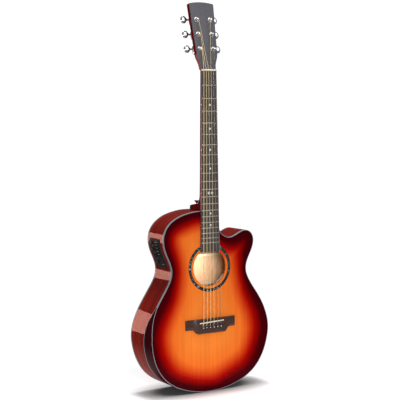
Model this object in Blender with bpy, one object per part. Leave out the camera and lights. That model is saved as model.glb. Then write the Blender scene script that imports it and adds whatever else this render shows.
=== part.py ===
"""Cutaway steel-string acoustic guitar with a side-mounted preamp.

The guitar stands upright on its tail. X points to the treble side, Y points from the soundboard
to the back, and Z points up the neck. The origin is under the middle of the whole object.
Sizes below are in millimetres; world() turns them into the scene's metres.
A position is given as x, depth (distance behind the soundboard's front face) and z (above the tail).
"""
import math

import bmesh
import bpy
import numpy as np
from mathutils import Vector

MM = 0.001
GAP = 0.3                     # clearance kept between touching pieces

# ---- overall
SCALE_LENGTH = 650.0          # nut to saddle, before compensation
NUT_Z = 840.0                 # front edge of the nut
BODY_TOP_Z = 478.3            # where the neck meets the body, at the fourteenth fret
BACK_AT_TAIL = 103.0          # body depth at the tail
BACK_SLOPE = 0.0445           # the body gets shallower towards the neck
FRONT_REACH = 12.9            # how far the strings stand in front of the soundboard
MIDDLE_DEPTH = (BACK_AT_TAIL - FRONT_REACH) / 2

# ---- body outline, seen from the front, clockwise from the corner at the treble side of the neck
NECK_SIDE_X = 28.5
CUTAWAY_START_Z = 450.0
TREBLE_UPPER_KEYS = [(30.5, 432), (36, 418), (47, 409), (62, 405), (78, 409), (94, 416.5),
                     (109, 421), (124, 418.5), (135, 407), (138, 390), (130, 364), (118, 339),
                     (114, 318), (127, 283)]
LOWER_BOUT_KEYS = [(158, 237), (179, 191), (185, 156), (181, 124), (165, 80), (136, 43),
                   (94, 18), (46, 4)]
BASS_UPPER_KEYS = [(-130, 282), (-116, 312), (-115, 331), (-121, 351), (-132, 376), (-138, 404),
                   (-136, 422), (-127, 440), (-113, 454), (-94, 465), (-67, 473.5)]
TURN_PER_POINT = math.radians(10)
LONGEST_EDGE = 19.0
SHORTEST_EDGE = 1.5

# ---- body shell
BINDING_WIDTH = 2.2
BINDING_DEPTH = 6.0
THIN_BINDING_DEPTH = 2.8
TOP_THICKNESS = 2.8
BACK_THICKNESS = 3.0
SIDE_THICKNESS = 2.3
LINING_WIDTH = 5.0
LINING_HEIGHT = 14.0
LINING_OUT = SIDE_THICKNESS + GAP
LINING_IN = LINING_OUT + LINING_WIDTH

# ---- forearm bevel on the bass lower bout: distance along the outline, width on top, depth on side
BEVEL_START_Z = 232.0
BEVEL_KEYS = [(0, 0.6, 6.2), (26, 3.2, 15.5), (50, 7.5, 20), (78, 10.8, 24), (108, 8.8, 29),
              (145, 5.6, 33.5), (185, 3.2, 34.5), (215, 1.7, 26), (242, 0.6, 6.2)]
BEVEL_LEDGE = 7.5             # how far the bevel's block reaches under the soundboard

# ---- soundhole and rosette
HOLE_Z = 329.4
HOLE_RADIUS = 49.4
ROSETTE_INNER = 57.6
ROSETTE_OUTER = 62.6
ROSETTE_DEPTH = 1.2
ROUND_STEPS = 48

# ---- inside
BLOCK_HALF_WIDTH = 32.0
NECK_BLOCK_LOW_Z = 438.0
TAIL_BLOCK_HIGH_Z = 30.0
BRACE_CROSS_Z = 255.0
BRACE_ANGLE = math.radians(48)
BRACE_HALF_WIDTH = 4.0
BRACE_HEIGHT = 12.0
BRACE_LOWER_X = 146.0
BRACE_UPPER_X = 100.0
BRIDGE_PLATE_THICKNESS = 2.4
BACK_BRACE_ZS = {"back_brace_upper": 352.0, "back_brace_lower": 275.0}

# ---- neck, heel and headstock
FRET_COUNT = 20
BOARD_THICKNESS = 6.1
FRET_HEIGHT = 1.1
FRET_HALF_WIDTH = 1.2
BOARD_CAMBER_RADIUS = 406.0
NUT_HALF_WIDTH = 21.75
BOARD_END_HALF_WIDTH = 28.0
BOARD_LENGTH = 463.0
NUT_THICKNESS = 5.2
NUT_TOP = -7.6
HEEL_TAPER = 0.36
HEAD_BASE_Z = NUT_Z + NUT_THICKNESS + 2 * GAP
HEAD_FACE_DEPTH = -3.0
HEAD_TILT = math.radians(12)
HEAD_THICKNESS = 15.0
FACEPLATE_THICKNESS = 1.5
HEAD_LENGTH = 177.0
HEAD_TOP_HALF_WIDTH = 37.0
HEAD_TOP_CROWN = 4.0
# distance above the nut, half-width
HEAD_SHOULDER = [(0.4, 21.9), (8, 22.6), (18, 25.0), (29, 29.3), (36, 31.0), (43, 31.6)]
ROD_HALF_WIDTH = 2.9
ROD_DEPTH = 9.3
ROD_ENDS_Z = (500.0, 832.0)

# ---- tuning machines
POST_X = 20.5
POST_VS = [52.0, 91.0, 130.0]
POST_RADIUS = 3.0
POST_ABOVE_FACE = 9.5
SLEEVE_RADIUS = 4.7
WASHER_RADIUS = 6.3
WASHER_THICKNESS = 1.8
BUTTON_CENTRE_X = 46.5
BUTTON_RISE = 4.7             # the worm shaft's height above the post's centre
SHAFT_BEHIND_FACE = 21.5
SHAFT_RADIUS = 2.0
HOUSING_SIZE = (17.0, 23.0, 11.0)

# ---- bridge, saddle and pins
BRIDGE_TOP_Z = 195.0
BRIDGE_WING_LOW_Z = 168.5
BRIDGE_BELLY_Z = 157.0
BRIDGE_HALF_LENGTH = 75.5
WING_HEIGHT = 4.4
BLOCK_HEIGHT = 9.5
SADDLE_HALF_LENGTH = 37.0
SADDLE_THICKNESS = 3.0
SADDLE_BASS_Z = 185.0
SADDLE_TREBLE_Z = 188.0
SADDLE_TOP = 11.7
SADDLE_SLOT_FLOOR = 3.6
PIN_Z = 173.0
PIN_SPACING = 11.0
PIN_SHAFT_RADIUS = 2.4
PIN_HOLE_RADIUS = 2.7

# ---- strings, bass to treble
STRING_RADII = [0.65, 0.55, 0.45, 0.40, 0.40, 0.40]
STRING_NAMES = ["low_e", "a", "d", "g", "b", "high_e"]
NUT_SPACING = 7.3
SADDLE_SPACING = 10.6

# ---- preamp on the bass side, strap button and output jack
PREAMP_HIGH_Z = 410.0
PREAMP_LOW_Z = 333.0
PREAMP_DEPTHS = (19.5, 71.0)
BEZEL_PROUD = 2.5
MODULE_INSET = 6.0
MODULE_CLEARANCE = 1.2
MODULE_REACH = 22.0
KNOB_DEPTH = 58.0
KNOB_ZS = {"volume_knob": 399.0, "treble_knob": 382.0, "middle_knob": 365.0, "bass_knob": 348.0}
KNOB_RADIUS = 4.6
KNOB_HEIGHT = 4.0
KNOB_STEM_RADIUS = 1.5
PUSH_Z = 352.0
PUSH_DEPTH = 33.0
PUSH_RADIUS = 3.0
STRAP_DEPTH = 63.0
STRAP_BASE_Z = 488.0
STRAP_SPOT_RADIUS = 7.0       # flat spot cut into the heel under the strap button
JACK_Z = 115.0
JACK_DEPTH = 50.0
JACK_SIDE_X = 176.0           # about where the treble side is at the jack's height
JACK_HOLE_RADIUS = 7.6        # hole in the side
JACK_PLATE_HALF_HEIGHT = 16.0
JACK_PLATE_HALF_WIDTH = 13.0
JACK_SLEEVE_RADIUS = 6.5
JACK_SLEEVE_LENGTH = 26.0
JACK_BORE_RADIUS = 3.3
JACK_BORE_LENGTH = 23.0

# ---- colours: red, green, blue, roughness, metallic
COLOURS = {
    "spruce": (0.75, 0.22, 0.04, 0.25, 0.0),
    "red_mahogany": (0.22, 0.02, 0.015, 0.25, 0.0),
    "dark_maroon": (0.05, 0.008, 0.010, 0.3, 0.0),
    "pale_wood": (0.72, 0.56, 0.38, 0.7, 0.0),
    "binding": (0.62, 0.64, 0.66, 0.35, 0.0),
    "fretboard": (0.06, 0.05, 0.05, 0.5, 0.0),
    "rosewood": (0.09, 0.04, 0.03, 0.5, 0.0),
    "slate": (0.13, 0.13, 0.15, 0.35, 0.0),
    "bone": (0.85, 0.82, 0.72, 0.4, 0.0),
    "shell": (0.08, 0.28, 0.26, 0.25, 0.2),
    "steel": (0.55, 0.55, 0.56, 0.35, 1.0),
    "chrome": (0.80, 0.80, 0.82, 0.12, 1.0),
    "bronze": (0.70, 0.50, 0.28, 0.35, 1.0),
    "plain_steel": (0.75, 0.75, 0.76, 0.25, 1.0),
    "black_plastic": (0.03, 0.04, 0.04, 0.4, 0.0),
    "pin_black": (0.02, 0.02, 0.02, 0.25, 0.0),
}


# ------------------------------------------------------------------ scene and mesh helpers

def clear_scene():
    for item in list(bpy.data.objects):
        bpy.data.objects.remove(item, do_unlink=True)


def world(x, depth, z):
    return Vector((x * MM, (depth - MIDDLE_DEPTH) * MM, z * MM))


def head(x, v, h):
    """A point on the headstock: v up its face from the nut, h in front of the face."""
    depth = HEAD_FACE_DEPTH + v * math.sin(HEAD_TILT) - h * math.cos(HEAD_TILT)
    return world(x, depth, HEAD_BASE_Z + v * math.cos(HEAD_TILT) + h * math.sin(HEAD_TILT))


def make_material(name, colour):
    red, green, blue, roughness, metallic = COLOURS[colour]
    material = bpy.data.materials.new(name + "_finish")
    material.use_nodes = True
    shader = material.node_tree.nodes["Principled BSDF"]
    shader.inputs["Base Color"].default_value = (red, green, blue, 1.0)
    shader.inputs["Roughness"].default_value = roughness
    shader.inputs["Metallic"].default_value = metallic
    return material


def make_object(name, points, faces, colour, origin=None):
    """One closed piece from world points; its own origin is at the given point."""
    origin = origin or Vector((0, 0, 0))
    mesh = bpy.data.meshes.new(name)
    mesh.from_pydata([point - origin for point in points], [], faces)
    shape = bmesh.new()
    shape.from_mesh(mesh)
    bmesh.ops.recalc_face_normals(shape, faces=shape.faces)
    shape.to_mesh(mesh)
    shape.free()
    piece = bpy.data.objects.new(name, mesh)
    piece.location = origin
    bpy.context.scene.collection.objects.link(piece)
    mesh.materials.append(make_material(name, colour))
    mesh.shade_smooth()
    mesh.set_sharp_from_angle(angle=math.radians(35))
    return piece


def loft(rings, closed=False):
    """Points and faces of a skin over rings of equal length; open ends are capped."""
    size = len(rings[0])
    points = [point for ring in rings for point in ring]
    faces = []
    last = len(rings) if closed else len(rings) - 1
    for i in range(last):
        near = i * size
        far = (i + 1) % len(rings) * size
        for j in range(size):
            k = (j + 1) % size
            faces.append((near + j, near + k, far + k, far + j))
    if not closed:
        faces.append(tuple(range(size)))
        faces.append(tuple(range(len(points) - size, len(points))))
    return points, faces


def lofted(name, rings, colour, closed=False, origin=None):
    points, faces = loft(rings, closed)
    return make_object(name, points, faces, colour, origin)


def plate(name, outline, front, back, colour):
    """A flat piece with an (x, z) outline; front and back give the depth at each z."""
    rings = [[world(x, side(z), z) for x, z in outline] for side in (front, back)]
    return lofted(name, rings, colour)


def circle(centre, axis, radius, steps):
    turn = axis.to_track_quat("Z", "Y").to_matrix()
    angles = [2 * math.pi * i / steps for i in range(steps)]
    return [centre + turn @ Vector((math.cos(a), math.sin(a), 0)) * radius * MM for a in angles]


def turned(name, profile, origin, axis, colour, steps=16, hollow=False):
    """A turned piece: profile is (radius, distance along the axis); hollow closes it on itself."""
    rings = [circle(origin + axis * along * MM, axis, radius, steps) for radius, along in profile]
    return lofted(name, rings, colour, closed=hollow, origin=origin)


def cutter_block(low, high):
    """A box cutter between two (x, depth, z) corners."""
    corners = [(low[0], low[2]), (high[0], low[2]), (high[0], high[2]), (low[0], high[2])]
    return plate("cutter", corners, lambda z: low[1], lambda z: high[1], "steel")


def combine(target, tool, operation):
    """Apply a Boolean to target at once and remove the tool."""
    modifier = target.modifiers.new("shape", "BOOLEAN")
    modifier.operation = operation
    modifier.solver = "EXACT"
    modifier.object = tool
    bpy.context.view_layer.update()
    graph = bpy.context.evaluated_depsgraph_get()
    result = bpy.data.meshes.new_from_object(target.evaluated_get(graph))
    target.modifiers.clear()
    old = target.data
    target.data = result
    bpy.data.meshes.remove(old)
    bpy.data.objects.remove(tool, do_unlink=True)
    while len(result.materials) > 1:
        result.materials.pop()
    tidy = bmesh.new()
    tidy.from_mesh(result)
    bmesh.ops.remove_doubles(tidy, verts=tidy.verts, dist=0.002 * MM)
    bmesh.ops.dissolve_degenerate(tidy, edges=tidy.edges, dist=0.002 * MM)
    for face in tidy.faces:
        face.material_index = 0
    tidy.to_mesh(result)
    tidy.free()
    result.name = target.name
    result.shade_smooth()
    result.set_sharp_from_angle(angle=math.radians(35))


def cut(target, tool):
    combine(target, tool, "DIFFERENCE")


def join(target, tool):
    combine(target, tool, "UNION")


# ------------------------------------------------------------------ body outline

def clamped_spline(keys, start, end):
    """A smooth curve through the keys, with more points where it turns."""
    keys = np.array(keys, dtype=float)
    spans = np.linalg.norm(np.diff(keys, axis=0), axis=1)
    count = len(keys)
    system = np.zeros((count, count))
    wanted = np.zeros((count, 2))
    system[0, 0] = system[-1, -1] = 1.0
    wanted[0] = start
    wanted[-1] = end
    for i in range(1, count - 1):
        before, after = spans[i - 1], spans[i]
        system[i, i - 1:i + 2] = (after, 2 * (before + after), before)
        wanted[i] = 3 * (after * (keys[i] - keys[i - 1]) / before
                         + before * (keys[i + 1] - keys[i]) / after)
    slopes = np.linalg.solve(system, wanted)
    points = []
    for i in range(count - 1):
        turn = math.atan2(*slopes[i]) - math.atan2(*slopes[i + 1])
        turn = abs((turn + math.pi) % (2 * math.pi) - math.pi)
        steps = max(1, round(turn / TURN_PER_POINT), round(spans[i] / LONGEST_EDGE))
        for t in np.arange(steps) / steps:
            points.append((2 * t**3 - 3 * t**2 + 1) * keys[i] + (3 * t**2 - 2 * t**3) * keys[i + 1]
                          + spans[i] * ((t**3 - 2 * t**2 + t) * slopes[i]
                                        + (t**3 - t**2) * slopes[i + 1]))
    points.append(keys[-1])
    return points


def body_outline():
    lower = LOWER_BOUT_KEYS + [(0, 0)] + [(-x, z) for x, z in reversed(LOWER_BOUT_KEYS)]
    keys = ([(NECK_SIDE_X, CUTAWAY_START_Z)] + TREBLE_UPPER_KEYS + lower + BASS_UPPER_KEYS
            + [(-NECK_SIDE_X, BODY_TOP_Z)])
    curve = clamped_spline(keys, start=(0, -1), end=(1, 0))
    return np.array([(NECK_SIDE_X, BODY_TOP_Z)] + [tuple(point) for point in curve])


def inward_vectors(outline):
    """For each point, the step that moves its two edges inward by one millimetre."""
    ahead = np.roll(outline, -1, axis=0) - outline
    ahead /= np.linalg.norm(ahead, axis=1)[:, None]
    after = np.stack([ahead[:, 1], -ahead[:, 0]], axis=1)
    before = np.roll(after, 1, axis=0)
    return (before + after) / (1 + np.sum(before * after, axis=1))[:, None]


def bevel_sizes(outline):
    """The forearm bevel's width on top and depth on the side at each outline point."""
    steps = np.linalg.norm(np.diff(outline, axis=0), axis=1)
    along = np.concatenate([[0], np.cumsum(steps)])
    rising = (outline[:, 0] < 0) & (outline[:, 1] < 400)
    # the outline runs clockwise, so the bevel is measured back from its upper end
    travelled = np.interp(BEVEL_START_Z, outline[rising, 1], along[rising]) - along
    keys = np.array(BEVEL_KEYS)
    inside = (travelled >= 0) & (travelled <= keys[-1, 0])
    width = np.where(inside, np.interp(travelled, keys[:, 0], keys[:, 1]), 0.0)
    depth = np.where(inside, np.interp(travelled, keys[:, 0], keys[:, 2]), BINDING_DEPTH)
    return width, depth


OUTLINE = body_outline()
INWARD = inward_vectors(OUTLINE)
BEVEL_WIDTH, BEVEL_DEPTH = bevel_sizes(OUTLINE)
IN_BEVEL = BEVEL_WIDTH > 0
NEAR_BEVEL = IN_BEVEL | np.roll(IN_BEVEL, 1) | np.roll(IN_BEVEL, -1)


def back_depth(z):
    return BACK_AT_TAIL - BACK_SLOPE * z


def inset(i, distance):
    """Outline point i moved inward."""
    return OUTLINE[i] + INWARD[i] * distance


def section(i, corners):
    """A cross-section at outline point i from (inset, depth) corners; a depth may depend on z."""
    ring = []
    for distance, depth in corners:
        x, z = inset(i, distance)
        ring.append(world(x, depth(z) if callable(depth) else depth, z))
    return ring


def hoop(name, colour, corners_at):
    """A closed hoop around the body; corners_at(i) gives its cross-section."""
    rings = [section(i, corners_at(i)) for i in range(len(OUTLINE))]
    return lofted(name, rings, colour, closed=True)


def rectangle(near, far, front, back):
    return [(near, front), (far, front), (far, back), (near, back)]


def before_back(distance):
    """A depth that stays the given distance in front of the body's sloping back."""
    return lambda z: back_depth(z) - distance


def side_slice(high_z, low_z, bass=True):
    """The stretch of the outline's polyline between two heights, with its inward vectors."""
    sign = -1 if bass else 1
    stretch = []
    count = len(OUTLINE)
    for i in range(count - 1):
        here, there = OUTLINE[i], OUTLINE[i + 1]
        if sign * here[0] < 100 or sign * there[0] < 100:
            continue
        edge = (there - here) / np.linalg.norm(there - here)
        flat = np.array([edge[1], -edge[0]])
        for level in (high_z, low_z):
            if min(here[1], there[1]) < level <= max(here[1], there[1]):
                t = (level - here[1]) / (there[1] - here[1])
                stretch.append((here + (there - here) * t, flat))
        if low_z + SHORTEST_EDGE < there[1] < high_z - SHORTEST_EDGE:
            stretch.append((there, INWARD[i + 1]))
    stretch.sort(key=lambda entry: entry[0][1])
    return stretch


def side_reach(z, bass):
    """How far the side is from the centre line at height z."""
    return min(abs(point[0]) for point, _ in side_slice(z + 0.01, z - 0.01, bass))


def side_sweep(name, stretch, corners, colour):
    """A solid that follows the side over a stretch of the outline."""
    rings = []
    for point, step in stretch:
        ring = []
        for distance, depth in corners:
            x, z = point + step * distance
            ring.append(world(x, depth, z))
        rings.append(ring)
    return lofted(name, rings, colour)


# ------------------------------------------------------------------ body shell

def make_bindings():
    def top_corners(i):
        shift = BEVEL_WIDTH[i] + (GAP if IN_BEVEL[i] else 0)
        depth = THIN_BINDING_DEPTH if IN_BEVEL[i] else BINDING_DEPTH
        return rectangle(shift, shift + BINDING_WIDTH, 0, depth)

    def back_corners(i):
        return rectangle(0, BINDING_WIDTH, before_back(BINDING_DEPTH), before_back(0))

    hoop("top_binding", "binding", top_corners)
    hoop("back_binding", "binding", back_corners)


def make_side_rim():
    def corners(i):
        return rectangle(0, SIDE_THICKNESS, BEVEL_DEPTH[i] + GAP, before_back(BINDING_DEPTH + GAP))

    rim = hoop("side_rim", "red_mahogany", corners)
    margin = MODULE_INSET - MODULE_CLEARANCE
    hole = side_slice(PREAMP_HIGH_Z - margin, PREAMP_LOW_Z + margin)
    near = PREAMP_DEPTHS[0] + margin
    far = PREAMP_DEPTHS[1] - margin
    cut(rim, side_sweep("cutter", hole, rectangle(-5, 8, near, far), "steel"))
    level = Vector((1, 0, 0))
    cut(rim, turned("cutter", [(JACK_HOLE_RADIUS, -30), (JACK_HOLE_RADIUS, 30)],
                    world(JACK_SIDE_X, JACK_DEPTH, JACK_Z), level, "steel"))


def make_linings():
    def top_corners(i):
        front = (BEVEL_DEPTH[i] if NEAR_BEVEL[i] else TOP_THICKNESS) + GAP
        return rectangle(LINING_OUT, LINING_IN, front, front + LINING_HEIGHT)

    def back_corners(i):
        inner = BACK_THICKNESS + GAP
        return rectangle(LINING_OUT, LINING_IN, before_back(inner + LINING_HEIGHT),
                         before_back(inner))

    hoop("top_lining", "pale_wood", top_corners)
    hoop("back_lining", "pale_wood", back_corners)


def make_armrest():
    """The bevelled corner that the player's forearm rests on."""
    rings = []
    for i in np.nonzero(IN_BEVEL)[0]:
        width, depth = BEVEL_WIDTH[i], BEVEL_DEPTH[i]
        ledge = TOP_THICKNESS + GAP
        rings.append(section(i, [(width, 0), (0, depth), (LINING_IN, depth),
                                 (width + BEVEL_LEDGE, ledge), (width, ledge)]))
    lofted("armrest", rings, "dark_maroon")


def string_x(number, spacing):
    return (number - 2.5) * spacing


def pin_cutters(depths, radius):
    """One cylinder cutter for each bridge pin."""
    for number in range(6):
        centre = world(string_x(number, PIN_SPACING), depths[0], PIN_Z)
        length = depths[1] - depths[0]
        yield turned("cutter", [(radius, 0), (radius, length)], centre, Vector((0, 1, 0)),
                     "steel", steps=12)


def make_soundboard():
    reach = [BEVEL_WIDTH[i] + BINDING_WIDTH + (2 if IN_BEVEL[i] else 1) * GAP
             for i in range(len(OUTLINE))]
    outline = [tuple(inset(i, reach[i])) for i in range(len(OUTLINE))]
    board = plate("soundboard", outline, lambda z: 0, lambda z: TOP_THICKNESS, "spruce")
    centre = world(0, 0, HOLE_Z)
    back = Vector((0, 1, 0))
    cut(board, turned("cutter", [(HOLE_RADIUS, -9), (HOLE_RADIUS, 9)], centre, back, "steel",
                      steps=ROUND_STEPS))
    groove = [(ROSETTE_INNER - GAP, -5), (ROSETTE_OUTER + GAP, -5),
              (ROSETTE_OUTER + GAP, ROSETTE_DEPTH + GAP), (ROSETTE_INNER - GAP, ROSETTE_DEPTH + GAP)]
    cut(board, turned("cutter", groove, centre, back, "steel", steps=ROUND_STEPS, hollow=True))
    for tool in pin_cutters((-5, 9), PIN_HOLE_RADIUS):
        cut(board, tool)
    ring = [(ROSETTE_INNER, 0), (ROSETTE_OUTER, 0),
            (ROSETTE_OUTER, ROSETTE_DEPTH), (ROSETTE_INNER, ROSETTE_DEPTH)]
    turned("rosette", ring, centre, back, "shell", steps=ROUND_STEPS, hollow=True)


def make_back():
    outline = [tuple(inset(i, BINDING_WIDTH + GAP)) for i in range(len(OUTLINE))]
    plate("back_plate", outline, before_back(BACK_THICKNESS), back_depth, "red_mahogany")


def block_rings(edge_at, inner_z, layers):
    """Stacked outlines of an end block that steps clear of both linings."""
    rings = []
    for reach, depth_at in layers:
        outer = edge_at(reach)
        outline = outer + [(outer[-1][0], inner_z), (outer[0][0], inner_z)]
        rings.append([world(x, depth_at(z), z) for x, z in outline])
    return rings


def block_layers():
    """Inset and depth of an end block's layers, from front to back."""
    lining_front = TOP_THICKNESS + GAP
    inner_back = BACK_THICKNESS + GAP
    clear = LINING_HEIGHT + GAP
    return [(LINING_IN + GAP, lambda z: lining_front),
            (LINING_IN + GAP, lambda z: lining_front + clear),
            (LINING_OUT, lambda z: lining_front + clear),
            (LINING_OUT, before_back(inner_back + clear)),
            (LINING_IN + GAP, before_back(inner_back + clear)),
            (LINING_IN + GAP, before_back(inner_back))]


def make_blocks():
    def neck_edge(reach):
        return [(-BLOCK_HALF_WIDTH, BODY_TOP_Z - reach - 0.1),
                (NECK_SIDE_X - reach, BODY_TOP_Z - reach)]

    def tail_edge(reach):
        return [tuple(inset(i, reach)) for i in range(len(OUTLINE))
                if abs(OUTLINE[i][0]) < BLOCK_HALF_WIDTH + 8 and OUTLINE[i][1] < 20]

    layers = block_layers()
    lofted("neck_block", block_rings(neck_edge, NECK_BLOCK_LOW_Z, layers), "pale_wood")
    lofted("tail_block", block_rings(tail_edge, TAIL_BLOCK_HIGH_Z, layers), "pale_wood")


def cross_outline():
    """The twelve-cornered outline of the crossed soundboard braces."""
    sine, cosine = math.sin(BRACE_ANGLE), math.cos(BRACE_ANGLE)
    half = BRACE_HALF_WIDTH

    def arm_end(sign_x, sign_z, reach):
        x = sign_x * reach
        z = BRACE_CROSS_Z + sign_z * reach * cosine / sine
        step = (half * cosine, -sign_x * sign_z * half * sine)
        pair = [(x - step[0], z - step[1]), (x + step[0], z + step[1])]
        return pair if sign_z > 0 else pair[::-1]

    right = (half / cosine, BRACE_CROSS_Z)
    left = (-half / cosine, BRACE_CROSS_Z)
    top = (0, BRACE_CROSS_Z + half / sine)
    bottom = (0, BRACE_CROSS_Z - half / sine)
    return (arm_end(-1, 1, BRACE_UPPER_X) + [top] + arm_end(1, 1, BRACE_UPPER_X) + [right]
            + arm_end(1, -1, BRACE_LOWER_X) + [bottom] + arm_end(-1, -1, BRACE_LOWER_X) + [left])


def make_braces():
    front = TOP_THICKNESS + GAP
    plate("x_brace", cross_outline(), lambda z: front, lambda z: front + BRACE_HEIGHT, "pale_wood")
    outline = [(-50, 201), (50, 201), (74, 166), (-74, 166)]
    under = plate("bridge_plate", outline, lambda z: front,
                  lambda z: front + BRIDGE_PLATE_THICKNESS, "pale_wood")
    for tool in pin_cutters((-5, 12), PIN_HOLE_RADIUS):
        cut(under, tool)
    for name, middle in BACK_BRACE_ZS.items():
        levels = (middle - BRACE_HALF_WIDTH, middle + BRACE_HALF_WIDTH)
        reach = min(side_reach(level, bass) for level in levels for bass in (True, False))
        reach -= LINING_IN + 3
        outline = [(-reach, levels[0]), (reach, levels[0]), (reach, levels[1]), (-reach, levels[1])]
        inner = BACK_THICKNESS + GAP
        plate(name, outline, before_back(inner + BRACE_HEIGHT), before_back(inner), "pale_wood")


# ------------------------------------------------------------------ neck and fretboard

def board_half_width(z):
    along = (NUT_Z - z) / BOARD_LENGTH
    return NUT_HALF_WIDTH + (BOARD_END_HALF_WIDTH - NUT_HALF_WIDTH) * along


def fret_z(number):
    return NUT_Z - SCALE_LENGTH * (1 - 2 ** (-number / 12))


def board_end_z(x):
    return HOLE_Z + math.sqrt(HOLE_RADIUS ** 2 - x ** 2)


def make_fretboard():
    def ring(z, height, curved=False):
        half = board_half_width(z)
        stations = [half * step for step in (-1, -0.45, 0.45, 1)]
        points = []
        for x in stations:
            top = -GAP - BOARD_THICKNESS - height + x * x / (2 * BOARD_CAMBER_RADIUS)
            points.append(world(x, top, board_end_z(x) if curved else z))
        for x in reversed(stations):
            points.append(world(x, -GAP, board_end_z(x) if curved else z))
        return points

    rings = [ring(NUT_Z, 0)]
    for number in range(1, FRET_COUNT + 1):
        z = fret_z(number)
        rings += [ring(z + FRET_HALF_WIDTH, 0), ring(z, FRET_HEIGHT), ring(z - FRET_HALF_WIDTH, 0)]
    rings.append(ring(board_end_z(0), 0, curved=True))
    lofted("fretboard", rings, "fretboard")


def neck_ring(place, half, depth, roundness, taper=0.0):
    """Five points along the front and seven around the back; place maps (x, depth) to the world."""
    ring = [place(x, 0) for x in (-half, -half / 2, 0, half / 2, half)]
    for k in range(1, 8):
        angle = math.pi * k / 8
        y = depth * math.sin(angle) ** roundness
        side = math.copysign(abs(math.cos(angle)) ** roundness, math.cos(angle))
        ring.append(place(half * side * (1 - taper * y / depth), y))
    return ring


def make_neck():
    def shaft(z, depth, roundness=0.9, taper=0.0):
        return neck_ring(lambda x, y: world(x, y, z), board_half_width(z), depth, roundness, taper)

    rings = [shaft(BODY_TOP_Z + GAP, 81.4, 0.4, HEEL_TAPER), shaft(487, 81, 0.42, HEEL_TAPER),
             shaft(489.5, 76, 0.5, 0.33), shaft(491.5, 65, 0.6, 0.26), shaft(494, 50, 0.7, 0.18),
             shaft(497.5, 36, 0.8, 0.1), shaft(503, 26.5, 0.85), shaft(512, 21), shaft(530, 18.2),
             shaft(560, 17), shaft(700, 16), shaft(832, 15), shaft(NUT_Z + NUT_THICKNESS, 15.2)]
    core_depth = HEAD_THICKNESS - FACEPLATE_THICKNESS - GAP

    def head_ring(v, half, crown=0.0):
        def place(x, y):
            rise = v - crown * (x / half) ** 2
            return head(x, rise, -FACEPLATE_THICKNESS - GAP - y)
        return neck_ring(place, half, core_depth, 0.22)

    rings += [head_ring(v, half) for v, half in HEAD_SHOULDER]
    rings.append(head_ring(HEAD_LENGTH - 2 * HEAD_TOP_CROWN, HEAD_TOP_HALF_WIDTH - 0.2,
                           HEAD_TOP_CROWN))
    rings.append(head_ring(HEAD_LENGTH, HEAD_TOP_HALF_WIDTH, HEAD_TOP_CROWN))
    neck = lofted("neck", rings, "red_mahogany")
    cut(neck, cutter_block((-ROD_HALF_WIDTH - GAP, -5, ROD_ENDS_Z[0] - GAP),
                           (ROD_HALF_WIDTH + GAP, ROD_DEPTH + GAP, ROD_ENDS_Z[1] + GAP)))
    spot = world(0, STRAP_DEPTH, STRAP_BASE_Z)
    cut(neck, turned("cutter", [(STRAP_SPOT_RADIUS, 0), (STRAP_SPOT_RADIUS, 30)], spot,
                     Vector((0, 0, 1)), "steel"))
    for tool in tuner_cutters():
        cut(neck, tool)
    rod = [(-ROD_HALF_WIDTH, ROD_ENDS_Z[0]), (ROD_HALF_WIDTH, ROD_ENDS_Z[0]),
           (ROD_HALF_WIDTH, ROD_ENDS_Z[1]), (-ROD_HALF_WIDTH, ROD_ENDS_Z[1])]
    plate("truss_rod", rod, lambda z: 0.2, lambda z: ROD_DEPTH, "steel")


def make_faceplate():
    sides = HEAD_SHOULDER + [(HEAD_LENGTH - HEAD_TOP_CROWN, HEAD_TOP_HALF_WIDTH)]
    top = [(HEAD_LENGTH - HEAD_TOP_CROWN * t * t, HEAD_TOP_HALF_WIDTH * t)
           for t in (0.75, 0.5, 0.25, 0, -0.25, -0.5, -0.75)]
    outline = sides + top + [(v, -half) for v, half in reversed(sides)]
    rings = [[head(x, v, h) for v, x in outline] for h in (0, -FACEPLATE_THICKNESS)]
    face = lofted("headstock_faceplate", rings, "slate")
    for tool in tuner_cutters():
        cut(face, tool)


def make_nut():
    outline = [(-NUT_HALF_WIDTH, NUT_Z + GAP), (NUT_HALF_WIDTH, NUT_Z + GAP),
               (NUT_HALF_WIDTH, NUT_Z + NUT_THICKNESS), (-NUT_HALF_WIDTH, NUT_Z + NUT_THICKNESS)]
    plate("nut", outline, lambda z: -GAP, lambda z: NUT_TOP, "bone")


# ------------------------------------------------------------------ tuning machines

def tuner_places():
    """Name, side (-1 bass, 1 treble) and place up the headstock, in string order."""
    bass = [(STRING_NAMES[i], -1, v) for i, v in enumerate(POST_VS)]
    treble = [(STRING_NAMES[5 - i], 1, v) for i, v in enumerate(POST_VS)]
    return bass + treble


def head_normal():
    return (head(0, 0, 1) - head(0, 0, 0)).normalized()


def tuner_cutters():
    for _, side, v in tuner_places():
        yield turned("cutter", [(SLEEVE_RADIUS + GAP, -25), (SLEEVE_RADIUS + GAP, 10)],
                     head(side * POST_X, v, 0), head_normal(), "steel", steps=12)


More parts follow.
